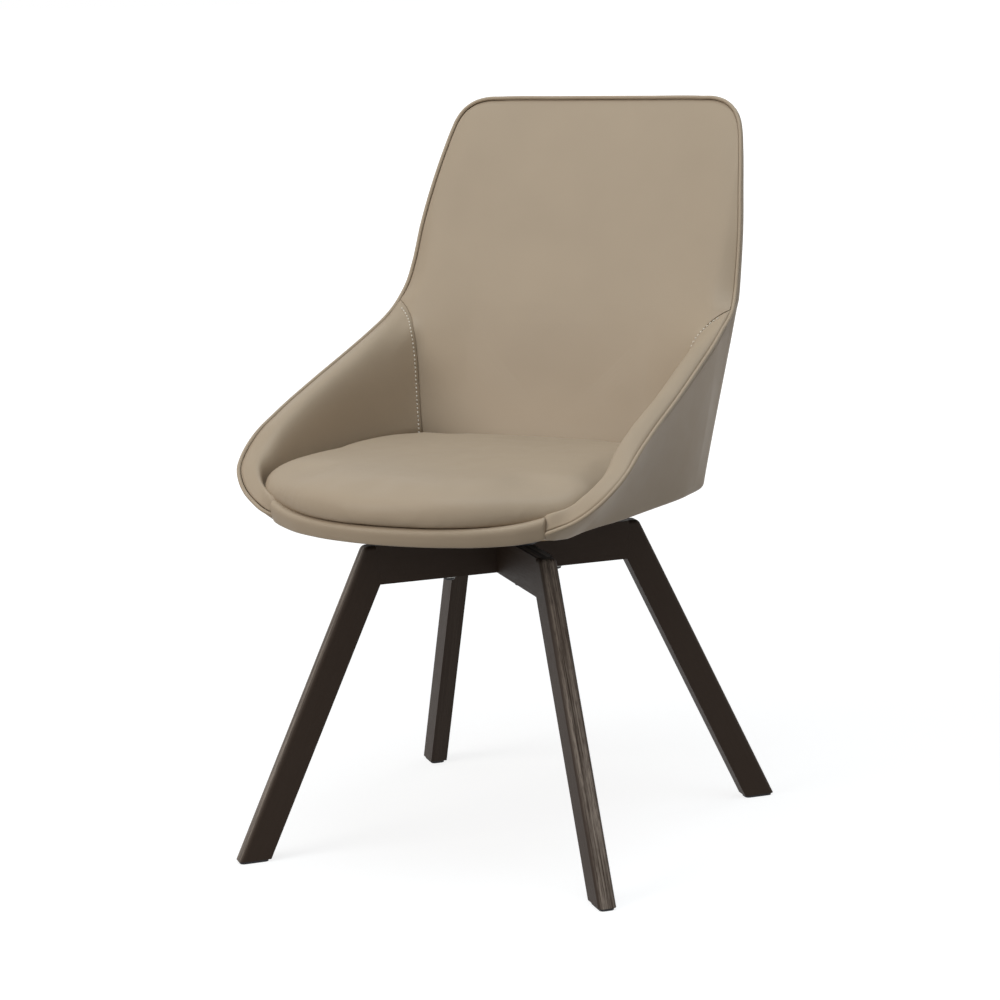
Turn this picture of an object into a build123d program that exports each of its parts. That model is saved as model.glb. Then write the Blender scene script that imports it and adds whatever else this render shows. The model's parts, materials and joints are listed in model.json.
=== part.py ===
"""Swivel dining chair: an upholstered tub seat that turns on a crossed wooden base with four splayed legs.

The model stands on the floor at Z = 0, faces -Y and is in millimetres. It is drawn about the swivel's axis,
and every piece is then moved back by BOX_SHIFT, so that the origin lies under the middle of the whole chair.
"""
from build123d import *
import math
import os

# ---- Wooden base -------------------------------------------------------------------------------------
RAIL_TOP = 362.0            # height of the crossed rails' upper face
RAIL_HEIGHT = 46.0
TIMBER = 21.0               # thickness of the rails and of the legs
LEG_LEAN = 25.0             # degrees from upright, outwards
LEG_WIDTH = 38.0            # level width of a leg, along its rail
LEG_TOP_REACH = 169.5       # from the axis to a leg's upper outer corner
MITRE_INSET = 13.0          # from that corner to where the mitre meets the rail's upper face
LEG_EDGE_ROUND = 5.0        # the two long outer edges of a leg
LEG_CORNER_ROUND = 8.0      # the upper outer corner of a leg
DOWEL_DIAMETER = 8.0
DOWEL_IN_RAIL = 26.0
DOWEL_IN_LEG = 13.0
DOWEL_PITCH = 20.0
GLIDE_THICKNESS = 3.0
GLIDE_INSET = 2.0           # from the foot's outline to the glide's
NAIL_DIAMETER = 2.5
NAIL_HEAD_DIAMETER = 7.0
NAIL_HEAD = 1.2
NAIL_LENGTH = 16.0

# ---- Swivel ------------------------------------------------------------------------------------------
BASE_PLATE = 134.0          # square lower plate
TOP_PLATE = 150.0           # square upper plate
PLATE = 4.0
PLATE_CORNER = 14.0
BASE_BOLT_REACH = 66.0      # from the axis to each bolt through a rail
BOLT = 6.0
BOLT_HEAD_DIAMETER = 13.0
BOLT_HEAD = 3.2
BOLT_SOCKET = 4.0           # across the flats
BOLT_SOCKET_DEPTH = 2.0
WASHER_DIAMETER = 17.0
WASHER = 1.2
BASE_NUT_ACROSS = 10.0
BASE_NUT = 5.0
HOUSING_DIAMETER = 92.0
HOUSING_BORE = 60.0
BALL_DIAMETER = 6.0
BALL_COUNT = 20
BALL_CIRCLE = 76.0
CAGE_THICKNESS = 2.4
CAGE_INNER = 64.0
CAGE_OUTER = 88.0
TOP_RACE = 5.0
PIVOT_DIAMETER = 16.0
PIVOT_FLANGE_DIAMETER = 34.0
PIVOT_FLANGE = 4.0
PIVOT_THREAD = 12.0
PIVOT_WASHER_DIAMETER = 30.0
PIVOT_WASHER = 2.0
PIVOT_NUT_ACROSS = 19.0
PIVOT_NUT = 7.0
TOP_SCREW_SPACING = 118.0
T_NUT_FLANGE_DIAMETER = 19.0
T_NUT_FLANGE = 1.5
T_NUT_BARREL = 8.0

# ---- Seat board and what is under it -----------------------------------------------------------------
BOARD = 12.0
BOARD_WELL = 44.0           # hole for the pivot's nut
DUST_COVER = 0.8
DUST_COVER_INSET = 9.0      # from the board's edge
STAPLE_SPAN = 10.0
STAPLE_WIRE = 0.8
STAPLE_RING_INSET = 14.0
STAPLE_COUNT = 28

# ---- Upholstered tub: heights are above its lower edge -----------------------------------------------
TUB_BOTTOM = 406.0          # lower edge of the covers
BACK_HEIGHT = 441.5         # to the piping's centre along the top
ARM_HALF_WIDTH = 244.5      # to the piping's centre where the arms are widest
BACK_HALF_WIDTH = 187.0     # to the piping's centre at the top
BACK_CORNER_ROUND = 42.0
BEND_X = 0.95               # shape of the back's rear outline: shares of its half-width and of its bow
BEND_Y = 0.45
TURN_X = 0.76
TURN_Y = 0.76
KINK_HEIGHT = 203.0         # where an arm's rim runs into the side of the back
KINK_Y = 180.0
SEAM_FOOT_Y = 112.0         # the seam between an arm and the back, at the lower edge
BACK_REACH = 322.0          # rear of the outer cover at the top
COVER = 2.6
PLY = 6.0
PLY_TOP_INSET = 10.0        # from the rim to the plywood's edge
COVER_PROUD = 1.0           # of the piping's centre
PAD_FOOT = 2.5              # least width of an arm's pad on the seat board
SMALL_REBATE = 1.0          # in the pad's upper edge where there is no plywood
GAP = 0.3                   # between neighbouring soft pieces
PIPING_DIAMETER = 5.0
RIM_CLEAR = PIPING_DIAMETER / 2 + 2 * GAP   # from the piping's centre to what it lies between
BAND_FRONT = -284.0
BAND_END_INSET = 74.3       # from the arms' widest line to the band's end
BAND_END_Y = -228.5
BAND_END_RUN_X = 4.9        # from there inwards and backwards to the end of the band's inner face
BAND_END_RUN_Y = 11.0
BAND_HEIGHT = 20.0
BAND_THICKNESS = 12.0
BAND_LEAN = 3.0             # how far its upper edge stands out over its lower edge

# ---- Cushion and the pad that carries it: heights are above the tub's lower edge ---------------------
CUSHION_FRONT = -291.0
CUSHION_REAR = 121.0
CUSHION_SIDE_CLEARANCE = 54.5   # from the arms' widest line to the cushion's
CUSHION_REAR_CLEARANCE = 69.5   # the same at the cushion's rear corners
CUSHION_BOTTOM = 23.0
CUSHION_WAIST = 37.0
CUSHION_CROWN = 61.0
CUSHION_UNDERCUT = 22.0     # how far its lower edge is drawn in
CROWN_RUN = 110.0           # from the cushion's widest outline to its flat middle
CROWN_RINGS = 7
SEAT_PAD_INSET = 34.0

# ---- Screws that hold the plywood shell to the seat board --------------------------------------------
SHELL_SCREW = 3.0
SHELL_SCREW_HEAD = 6.0
SHELL_SCREW_HEAD_DEPTH = 2.0
SHELL_SCREW_BITE = 16.0     # its length inside the plywood
SCREWED_STATIONS = (5, 7, 8)

# ---- Clearances --------------------------------------------------------------------------------------
RUNNING_GAP = 0.05
HOLE_GAP = 0.25
CAGE_GAP = 0.15


class Station:
    """One cross-section of an arm: where its rim is, which way it faces, and how far in its foot and crease are."""

    def __init__(self, inward, y, rise, heading, foot_inset, foot_rise, crease_inset, crease_rise, ply):
        self.x = ARM_HALF_WIDTH - inward
        self.y = y
        self.rim = (0.0, rise)
        self.heading = math.radians(heading)
        self.foot = (-foot_inset, foot_rise)
        self.crease = (-crease_inset, crease_rise)
        self.ply = ply

    def place(self, point):
        """A point of the section, given as (outwards from the rim, height above the lower edge)."""
        outward, rise = point
        return Vector(self.x + outward * math.cos(self.heading),
                      self.y - outward * math.sin(self.heading),
                      TUB_BOTTOM + rise)

    def along(self, share, depth):
        """A point part of the way from foot to rim, at a depth inside the line that joins them."""
        run = self.rim[0] - self.foot[0]
        climb = self.rim[1] - self.foot[1]
        length = math.hypot(run, climb)
        return (self.foot[0] + share * run - depth * climb / length,
                self.foot[1] + share * climb + depth * run / length)

    def share_at(self, rise, depth):
        """The share of the way up at which a line at that depth reaches a height."""
        low = self.along(0, depth)[1]
        high = self.along(1, depth)[1]
        return (rise - low) / (high - low)

    def share_below_rim(self, distance):
        length = math.hypot(self.rim[0] - self.foot[0], self.rim[1] - self.foot[1])
        return 1 - distance / length

    def hook(self):
        """How wide and how deep the pad's rebate for the plywood's upper edge is."""
        if self.ply:
            return PLY + GAP, PLY_TOP_INSET - GAP
        return SMALL_REBATE, SMALL_REBATE


# From the band's end, round the front corner, back along the arm and past the seam.
STATIONS = [
    Station(72.5, -231, 13.0, 66, 4.0, 2.0, 10, 28, False),
    Station(45.5, -223, 22.0, 52, 26.0, 2.0, 18, 32, False),
    Station(24.5, -212, 35.0, 38, 46.0, 2.0, 29, 35, False),
    Station(8.5, -193, 53.0, 22, 57.0, 2.0, 40, 39, True),
    Station(1.5, -169, 70.0, 12, 62.0, 2.0, 49, 42, True),
    Station(0.0, -140, 85.0, 6, 59.0, 1.0, 49, 45, True),
    Station(2.0, -100, 100.5, 2, 49.0, 1.0, 43, 47, True),
    Station(6.0, -20, 127.0, 0, 34.5, 0.0, 41, 48, True),
    Station(11.5, 60, 152.0, 0, 24.0, 0.0, 45, 47, True),
    Station(18.0, 135, 180.0, 0, 24.0, 0.0, 54, 45, True),
    Station(21.5, 186, 207.0, 0, 42.0, 0.0, 66, 44, True),
]


class Level:
    """One level section of the back: half-widths, and how far back its faces are, at its edges and its middle."""

    def __init__(self, rise, inner_x, inner_y, inner_mid, outer_x, outer_y, outer_mid):
        self.rise = rise
        self.inner_x = inner_x
        self.inner_y = inner_y
        self.inner_mid = inner_mid
        self.outer_x = outer_x
        self.outer_y = outer_y
        self.outer_mid = outer_mid


def seam_y(rise):
    """Where the flat seam between arm and back lies at a height."""
    return SEAM_FOOT_Y + (KINK_Y - SEAM_FOOT_Y) * rise / KINK_HEIGHT


def arm_face(y, rise):
    """How far out the arms' outer face is, at a place beside the seam and at a height."""
    before, after = next(pair for pair in zip(STATIONS, STATIONS[1:]) if pair[0].y <= y <= pair[1].y)
    share = (y - before.y) / (after.y - before.y)

    def blend(low, high):
        return low + share * (high - low)

    rim_rise = blend(before.rim[1], after.rim[1])
    inset = -blend(before.foot[0], after.foot[0])
    return blend(before.x, after.x) - inset * (1 - rise / rim_rise) + COVER_PROUD


def below_kink(rise, width, hollow, depth):
    """A level whose two ends meet the arms along the seam."""
    edge = seam_y(rise) + GAP / 2
    outer = arm_face(edge, rise)
    return Level(rise, outer - width, edge, edge + hollow, outer, edge, edge + depth)


def above_kink(up, half_width, back, hollow, depth):
    """A level whose two ends are the piped side edges of the back, part of the way from the kink to the top."""
    rise = KINK_HEIGHT + up * (TOP_HEIGHT - KINK_HEIGHT)
    rim_y = KINK_Y + back * (TOP_RIM_Y - KINK_Y)
    return Level(rise, half_width - RIM_CLEAR, rim_y - RIM_CLEAR, rim_y + hollow, half_width + COVER_PROUD,
                 rim_y + RIM_CLEAR, rim_y + depth)


TOP_HEIGHT = BACK_HEIGHT - RIM_CLEAR
TOP_RIM_Y = BACK_REACH - 16
BAND_END_X = ARM_HALF_WIDTH - BAND_END_INSET
CUSHION_REAR_HALF_WIDTH = ARM_HALF_WIDTH - CUSHION_REAR_CLEARANCE
HEM = below_kink(0, 38, 6, 77)
LEVELS = [
    below_kink(BOARD + GAP, 39, 6, 76),
    below_kink(55, 39, 7, 73),
    below_kink(110, 36, 8, 68),
    below_kink(160, 32, 9, 65),
    below_kink(186, 22, 9, 64),
    below_kink(KINK_HEIGHT, 12, 10, 63),
    above_kink(0.178, BACK_HALF_WIDTH + 31, 0.238, 5, 47),
    above_kink(0.374, BACK_HALF_WIDTH + 27, 0.405, 8, 41),
    above_kink(0.569, BACK_HALF_WIDTH + 21, 0.563, 8, 37),
    above_kink(0.761, BACK_HALF_WIDTH + 13, 0.730, 6, 32),
    above_kink(0.897, BACK_HALF_WIDTH + 6, 0.865, 5, 25),
    above_kink(1, BACK_HALF_WIDTH, 1, 4, 15),
]
FIRST_ABOVE_KINK = 6

# ---- Derived places ----------------------------------------------------------------------------------
LEAN = math.tan(math.radians(LEG_LEAN))
RAIL_UNDERSIDE = RAIL_TOP - RAIL_HEIGHT
RIGHT = 45.0                # directions of the four legs about the axis
LEG_DIRECTIONS = {"front_right": -RIGHT, "rear_right": RIGHT, "rear_left": 180 - RIGHT, "front_left": RIGHT - 180}
PLATE_TOP = RAIL_TOP + PLATE
TOP_PLATE_UNDERSIDE = TUB_BOTTOM - PLATE
TOP_RACE_UNDERSIDE = TOP_PLATE_UNDERSIDE - TOP_RACE
BALL_HEIGHT = TOP_RACE_UNDERSIDE - RUNNING_GAP - BALL_DIAMETER / 2
HOUSING_TOP = BALL_HEIGHT - BALL_DIAMETER / 2
PIVOT_SHOULDER = TUB_BOTTOM + RUNNING_GAP
BOARD_TOP = TUB_BOTTOM + BOARD


def leg_outer(z):
    return LEG_TOP_REACH + (RAIL_TOP - z) * LEAN


def leg_inner(z):
    return leg_outer(z) - LEG_WIDTH


def mitre_reach(z):
    """How far out the mitre between rail and leg lies at a height."""
    share = (z - RAIL_UNDERSIDE) / RAIL_HEIGHT
    return leg_inner(RAIL_UNDERSIDE) * (1 - share) + (LEG_TOP_REACH - MITRE_INSET) * share


FOOT_CORNER = (leg_outer(0) + TIMBER / 2) * math.cos(math.radians(RIGHT))
REAR_REACH = max(BACK_REACH, FOOT_CORNER)
FRONT_REACH = min(CUSHION_FRONT, BAND_FRONT, -FOOT_CORNER)
BOX_SHIFT = -(REAR_REACH + FRONT_REACH) / 2


# ---- Small helpers -----------------------------------------------------------------------------------
def cylinder(diameter, bottom, top, x=0.0, y=0.0):
    return Pos(x, y, (bottom + top) / 2) * Cylinder(diameter / 2, top - bottom)


def ring(outer, inner, bottom, top):
    return cylinder(outer, bottom, top) - cylinder(inner, bottom, top)


def plate(side, corner, bottom, top):
    return extrude(Pos(0, 0, bottom) * RectangleRounded(side, side, corner), top - bottom)


def hexagon(across, bottom, top, x=0.0, y=0.0):
    return extrude(Pos(x, y, bottom) * RegularPolygon(across / 2, 6, major_radius=False), top - bottom)


def joined(pieces):
    return Compound([solid for piece in pieces for solid in piece.solids()])


def polar(reach, degrees):
    return reach * math.cos(math.radians(degrees)), reach * math.sin(math.radians(degrees))


def mirrored(piece):
    return mirror(piece, about=Plane.YZ)


def skin(wires):
    """A body through closed outlines of matching edges, straight from each outline to the next."""
    return Solid.make_loft(wires, ruled=True)


# ---- Wooden base -------------------------------------------------------------------------------------
def radial_slab(outline):
    """A board that stands upright along +X, from an outline in X and Z."""
    return extrude(Plane.XZ * outline, TIMBER / 2, both=True)


def dowel(z, clearance=0.0):
    middle = mitre_reach(z)
    length = DOWEL_IN_RAIL + DOWEL_IN_LEG
    centre = middle + (DOWEL_IN_LEG - DOWEL_IN_RAIL) / 2
    return Pos(centre, 0, z) * Rot(0, 90, 0) * Cylinder(DOWEL_DIAMETER / 2 + clearance, length)


def dowel_heights():
    middle = RAIL_UNDERSIDE + RAIL_HEIGHT / 2
    return [middle - DOWEL_PITCH / 2, middle + DOWEL_PITCH / 2]


def leg_along_x():
    outline = make_face(Polyline(
        (leg_inner(RAIL_UNDERSIDE), RAIL_UNDERSIDE),
        (LEG_TOP_REACH - MITRE_INSET, RAIL_TOP),
        (LEG_TOP_REACH, RAIL_TOP),
        (leg_outer(GLIDE_THICKNESS), GLIDE_THICKNESS),
        (leg_inner(GLIDE_THICKNESS), GLIDE_THICKNESS),
        close=True))
    corner = outline.vertices().sort_by_distance((LEG_TOP_REACH, RAIL_TOP))[0]
    leg = radial_slab(fillet(corner, LEG_CORNER_ROUND))
    outer_edges = [edge for edge in leg.edges()
                   if abs(abs(edge.center().Y) - TIMBER / 2) < 0.01
                   and edge.center().X > leg_outer(edge.center().Z) - LEG_CORNER_ROUND / 2]
    leg = fillet(outer_edges, LEG_EDGE_ROUND)
    for z in dowel_heights():
        leg -= dowel(z)
    leg -= nail_along_x()
    return leg


def rail_along_x():
    end_top = LEG_TOP_REACH - MITRE_INSET
    end_bottom = leg_inner(RAIL_UNDERSIDE)
    rail = radial_slab(make_face(Polyline(
        (-end_top, RAIL_TOP), (end_top, RAIL_TOP), (end_bottom, RAIL_UNDERSIDE), (-end_bottom, RAIL_UNDERSIDE),
        close=True)))
    for z in dowel_heights():
        rail -= dowel(z)
        rail -= Rot(0, 0, 180) * dowel(z)
    for side in (-1, 1):
        rail -= cylinder(BOLT + 2 * HOLE_GAP, RAIL_UNDERSIDE, RAIL_TOP, side * BASE_BOLT_REACH)
    return rail


def halving(upper):
    """The notch at the middle of a rail, in its upper or its lower half."""
    height = RAIL_HEIGHT / 2
    z = RAIL_TOP - height / 2 if upper else RAIL_UNDERSIDE + height / 2
    return Pos(0, 0, z) * Box(TIMBER, TIMBER, height)


def foot_middle():
    return (leg_outer(GLIDE_THICKNESS) + leg_inner(GLIDE_THICKNESS)) / 2


def glide_along_x():
    """A thin pad under the foot, rounded like it."""
    width = LEG_WIDTH - 2 * GLIDE_INSET
    depth = TIMBER - 2 * GLIDE_INSET
    pad = extrude(Pos(foot_middle(), 0, 0) * RectangleRounded(width, depth, LEG_EDGE_ROUND), GLIDE_THICKNESS)
    return pad - nail_along_x() - cylinder(NAIL_HEAD_DIAMETER, 0, GLIDE_THICKNESS / 2, foot_middle())


def nail_along_x():
    """The nail's shank runs up into the foot; its head is sunk in the glide."""
    head_bottom = GLIDE_THICKNESS / 2 - NAIL_HEAD
    head = cylinder(NAIL_HEAD_DIAMETER, head_bottom, GLIDE_THICKNESS / 2, foot_middle())
    return head + cylinder(NAIL_DIAMETER, head_bottom, head_bottom + NAIL_LENGTH, foot_middle())


def wooden_base():
    parts = {}
    parts["cross_rail_lower"] = Rot(0, 0, -RIGHT) * (rail_along_x() - halving(upper=True))
    parts["cross_rail_upper"] = Rot(0, 0, RIGHT) * (rail_along_x() - halving(upper=False))
    leg = leg_along_x()
    glide = glide_along_x()
    for name, direction in LEG_DIRECTIONS.items():
        parts["leg_" + name] = Rot(0, 0, direction) * leg
        parts["glide_" + name] = Rot(0, 0, direction) * glide
    turns = [Rot(0, 0, direction) for direction in LEG_DIRECTIONS.values()]
    parts["leg_dowels"] = joined([turn * dowel(z) for turn in turns for z in dowel_heights()])
    parts["glide_nails"] = joined([turn * nail_along_x() for turn in turns])
    return parts


# ---- Swivel ------------------------------------------------------------------------------------------
def button_bolt(x, y, under_head, tip):
    """A bolt that points up, with a low round head and a hexagon socket."""
    head = cylinder(BOLT_HEAD_DIAMETER, under_head - BOLT_HEAD, under_head, x, y)
    rim = head.edges().filter_by(GeomType.CIRCLE).sort_by(Axis.Z)[0]
    head = fillet(rim, BOLT_HEAD / 3)
    shank = cylinder(BOLT, under_head, tip, x, y)
    bottom = under_head - BOLT_HEAD
    return head + shank - hexagon(BOLT_SOCKET, bottom, bottom + BOLT_SOCKET_DEPTH, x, y)


def washer(x, y, top):
    hole = BOLT + 2 * HOLE_GAP
    return cylinder(WASHER_DIAMETER, top - WASHER, top, x, y) - cylinder(hole, top - WASHER, top, x, y)


def base_bolt_places():
    return [polar(BASE_BOLT_REACH, direction) for direction in LEG_DIRECTIONS.values()]


def top_screw_places():
    half = TOP_SCREW_SPACING / 2
    return [(x, y) for x in (-half, half) for y in (-half, half)]


def lower_plate():
    body = plate(BASE_PLATE, PLATE_CORNER, RAIL_TOP, PLATE_TOP)
    for x, y in base_bolt_places():
        body -= cylinder(BOLT + 2 * HOLE_GAP, RAIL_TOP, PLATE_TOP, x, y)
    return body


def upper_plate():
    """The square plate under the seat, with the race that runs on the balls."""
    body = plate(TOP_PLATE, PLATE_CORNER, TOP_PLATE_UNDERSIDE, TUB_BOTTOM)
    body += ring(HOUSING_DIAMETER, HOUSING_BORE, TOP_RACE_UNDERSIDE, TOP_PLATE_UNDERSIDE)
    body -= cylinder(PIVOT_DIAMETER + 2 * RUNNING_GAP, TOP_PLATE_UNDERSIDE, TUB_BOTTOM)
    for x, y in top_screw_places():
        body -= cylinder(BOLT + 2 * HOLE_GAP, TOP_PLATE_UNDERSIDE, TUB_BOTTOM, x, y)
    return body


def pivot():
    post = cylinder(PIVOT_FLANGE_DIAMETER, PLATE_TOP, PLATE_TOP + PIVOT_FLANGE)
    post += cylinder(PIVOT_DIAMETER, PLATE_TOP, PIVOT_SHOULDER)
    return post + cylinder(PIVOT_THREAD, PIVOT_SHOULDER, pivot_nut_top() + 1)


def pivot_nut_top():
    return PIVOT_SHOULDER + PIVOT_WASHER + PIVOT_NUT


def pivot_nut():
    bottom = PIVOT_SHOULDER + PIVOT_WASHER
    return hexagon(PIVOT_NUT_ACROSS, bottom, pivot_nut_top()) - cylinder(PIVOT_THREAD, bottom, pivot_nut_top())


def ball_places():
    return [polar(BALL_CIRCLE / 2, 360 * number / BALL_COUNT) for number in range(BALL_COUNT)]


def bearing_balls():
    return joined([Pos(x, y, BALL_HEIGHT) * Sphere(BALL_DIAMETER / 2) for x, y in ball_places()])


def ball_cage():
    low = BALL_HEIGHT - CAGE_THICKNESS / 2
    high = BALL_HEIGHT + CAGE_THICKNESS / 2
    cage = ring(CAGE_OUTER, CAGE_INNER, low, high)
    for x, y in ball_places():
        cage -= cylinder(BALL_DIAMETER + 2 * CAGE_GAP, low, high, x, y)
    return cage


def base_nut(x, y):
    return hexagon(BASE_NUT_ACROSS, PLATE_TOP, PLATE_TOP + BASE_NUT, x, y) - cylinder(
        BOLT, PLATE_TOP, PLATE_TOP + BASE_NUT, x, y)


def t_nut(x, y):
    flange = cylinder(T_NUT_FLANGE_DIAMETER, BOARD_TOP - T_NUT_FLANGE, BOARD_TOP, x, y)
    barrel = cylinder(T_NUT_BARREL, TUB_BOTTOM + T_NUT_FLANGE, BOARD_TOP, x, y)
    return flange + barrel - cylinder(BOLT, TUB_BOTTOM, BOARD_TOP, x, y)


def swivel():
    places = base_bolt_places()
    screws = top_screw_places()
    under_rail = RAIL_UNDERSIDE - WASHER
    return {
        "base_bolts": joined([button_bolt(x, y, under_rail, PLATE_TOP + BASE_NUT) for x, y in places]),
        "base_washers": joined([washer(x, y, RAIL_UNDERSIDE) for x, y in places]),
        "base_nuts": joined([base_nut(x, y) for x, y in places]),
        "swivel_lower_plate": lower_plate(),
        "swivel_housing": ring(HOUSING_DIAMETER, HOUSING_BORE, PLATE_TOP, HOUSING_TOP),
        "swivel_pivot": pivot(),
        "pivot_washer": ring(PIVOT_WASHER_DIAMETER, PIVOT_THREAD, PIVOT_SHOULDER, PIVOT_SHOULDER + PIVOT_WASHER),
        "pivot_nut": pivot_nut(),
        "bearing_balls": bearing_balls(),
        "ball_cage": ball_cage(),
        "swivel_upper_plate": upper_plate(),
        "seat_screws": joined([button_bolt(x, y, TOP_PLATE_UNDERSIDE, BOARD_TOP - 1) for x, y in screws]),
        "t_nuts": joined([t_nut(x, y) for x, y in screws]),
    }


# ---- Seat board, dust cover and staples --------------------------------------------------------------
def foot_point(station):
    return station.place(station.foot)


def band_inner_end(front, height):
    """Where the band's inner face ends on the right, for a place of the middle of its front."""
    return Vector(BAND_END_X - BAND_END_RUN_X, BAND_END_Y + BAND_END_RUN_Y + front - BAND_FRONT, height)


def tub_outline(inset):
    """The outline inside the covers and the band, drawn in by an inset: the arms, then the rear's arcs."""
    depth = COVER + GAP + inset
    corner = band_inner_end(BAND_FRONT, 0)
    arm = [station.place(station.along(0, depth - COVER_PROUD)) for station in STATIONS
           if corner.Y < foot_point(station).Y < SEAM_FOOT_Y]
    end, bend, turn, rear = back_points(HEM, depth)
    right = [(corner.X - inset, corner.Y + GAP + inset)] + [(place.X, place.Y) for place in arm + [end]]
    left = [(-x, y) for x, y in right]
    front = (0, BAND_FRONT + BAND_THICKNESS + GAP + inset)
    edges = [ThreePointArc(left[0], front, right[0])]
    edges += [Line(start, stop) for start, stop in zip(right, right[1:])]
    edges += rear_arcs(*[Vector(point.X, point.Y, 0) for point in (end, bend, turn, rear)])
    edges += [Line(start, stop) for start, stop in zip(left[::-1], left[-2::-1])]
    return make_face(edges)


def seat_board():
    board = extrude(Pos(0, 0, TUB_BOTTOM) * tub_outline(0), BOARD)
    board -= cylinder(BOARD_WELL, TUB_BOTTOM, BOARD_TOP)
    for x, y in top_screw_places():
        board -= cylinder(T_NUT_BARREL, TUB_BOTTOM, BOARD_TOP, x, y)
        board -= cylinder(T_NUT_FLANGE_DIAMETER, BOARD_TOP - T_NUT_FLANGE, BOARD_TOP, x, y)
    return board


def dust_cover():
    """Black cloth under the board, cut out round the swivel's plate."""
    cloth = extrude(Pos(0, 0, TUB_BOTTOM - DUST_COVER) * tub_outline(DUST_COVER_INSET), DUST_COVER)
    return cloth - plate(TOP_PLATE + 6, PLATE_CORNER, TUB_BOTTOM - DUST_COVER, TUB_BOTTOM)


def staple(x, y, turn):
    wire = Box(STAPLE_SPAN, STAPLE_WIRE, STAPLE_WIRE)
    return Pos(x, y, TUB_BOTTOM - DUST_COVER - STAPLE_WIRE / 2) * Rot(0, 0, turn) * wire


def staples():
    """A ring of staples that holds the dust cover to the board, each along the edge."""
    edge = tub_outline(STAPLE_RING_INSET).wires()[0]
    pieces = []
    for number in range(STAPLE_COUNT):
        share = (number + 0.5) / STAPLE_COUNT
        place = edge.position_at(share)
        along = edge.tangent_at(share)
        pieces.append(staple(place.X, place.Y, math.degrees(math.atan2(along.Y, along.X))))
    return joined(pieces)


# ---- Upholstered tub ---------------------------------------------------------------------------------
def arm_layer(stations, section):
    """A layer of the right arm, through one closed outline a station, cut off at the seam."""
    layer = skin([Wire(section(station)) for station in stations])
    lean = math.degrees(math.atan2(KINK_Y - SEAM_FOOT_Y, KINK_HEIGHT))
    behind = Pos(0, SEAM_FOOT_Y - GAP / 2, TUB_BOTTOM) * Rot(-lean, 0, 0) * Pos(0, 500, 0) * Box(1500, 1000, 1500)
    return layer - behind


def polygon(station, points):
    places = [station.place(point) for point in points]
    return [Line(start, end) for start, end in zip(places, places[1:] + places[:1])]


def arm_cover_section(station):
    """The outer cover: from the tub's lower edge to just under the piping."""
    top = station.share_below_rim(RIM_CLEAR)
    outer = -COVER_PROUD
    inner = COVER - COVER_PROUD
    return polygon(station, [station.along(0, outer), station.along(top, outer),
                             station.along(top, inner), station.along(0, inner)])


def arm_ply_section(station):
    outer = COVER - COVER_PROUD + GAP
    inner = outer + PLY
    top = station.share_below_rim(PLY_TOP_INSET)
    low = BOARD + GAP
    return polygon(station, [station.along(station.share_at(low, outer), outer), station.along(top, outer),
                             station.along(top, inner), station.along(station.share_at(low, inner), inner)])


def arm_pad_section(station):
    """The pad: it starts behind the plywood, hooks over its upper edge and rolls inwards to the crease."""
    rebate_width, rebate_depth = station.hook()
    outer = COVER - COVER_PROUD + GAP
    inner = outer + rebate_width
    low = BOARD + GAP
    foot = station.along(station.share_at(low, inner), inner)
    shoulder = station.share_below_rim(rebate_depth)
    lip = station.along(1, RIM_CLEAR)
    crease = station.crease
    middle = ((lip[0] + crease[0]) / 2, (lip[1] + crease[1]) / 2)
    reach = math.hypot(lip[0] - crease[0], lip[1] - crease[1])
    swell = 0.12 * reach
    bulge = (middle[0] - swell * (lip[1] - crease[1]) / reach, middle[1] + swell * (lip[0] - crease[0]) / reach)
    bottom = (min(crease[0], foot[0] - PAD_FOOT), low)
    path = [foot, station.along(shoulder, inner), station.along(shoulder, outer + GAP), lip]
    places = [station.place(point) for point in path]
    edges = [Line(start, end) for start, end in zip(places, places[1:])]
    edges.append(ThreePointArc(places[-1], station.place(bulge), station.place(crease)))
    edges.append(Line(station.place(crease), station.place(bottom)))
    edges.append(Line(station.place(bottom), places[0]))
    return edges


def flipped(point):
    return Vector(-point.X, point.Y, point.Z)


def back_points(level, depth):
    """The right half of a level at a depth inside its outer face: end, bend, turn and the middle of the rear."""
    height = TUB_BOTTOM + level.rise
    x = level.outer_x - depth
    bow = level.outer_mid - depth - level.outer_y
    return [Vector(x, level.outer_y, height), Vector(BEND_X * x, level.outer_y + BEND_Y * bow, height),
            Vector(TURN_X * x, level.outer_y + TURN_Y * bow, height), Vector(0, level.outer_y + bow, height)]


def rear_arcs(end, bend, turn, rear):
    """Three arcs, from the right end round the rear to the left end."""
    return [ThreePointArc(end, bend, turn), ThreePointArc(turn, rear, flipped(turn)),
            ThreePointArc(flipped(turn), flipped(bend), flipped(end))]


def pad_section(level, depth):
    """A level outline from a depth inside the outer face to the face that the sitter leans on."""
    end, bend, turn, rear = back_points(level, depth)
    height = TUB_BOTTOM + level.rise
    inner = Vector(level.inner_x, level.inner_y, height)
    front = ThreePointArc(flipped(inner), Vector(0, level.inner_mid, height), inner)
    return rear_arcs(end, bend, turn, rear) + [Line(flipped(end), flipped(inner)), front, Line(inner, end)]


def layer_section(level, depth, thickness):
    """A level outline of a layer of the back, from a depth inside the outer face."""
    end, bend, turn, rear = back_points(level, depth)
    end2, bend2, turn2, rear2 = back_points(level, depth + thickness)
    return rear_arcs(end, bend, turn, rear) + [
        Line(flipped(end), flipped(end2)), ThreePointArc(flipped(end2), flipped(bend2), flipped(turn2)),
        ThreePointArc(flipped(turn2), rear2, turn2), ThreePointArc(turn2, bend2, end2), Line(end2, end)]


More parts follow.
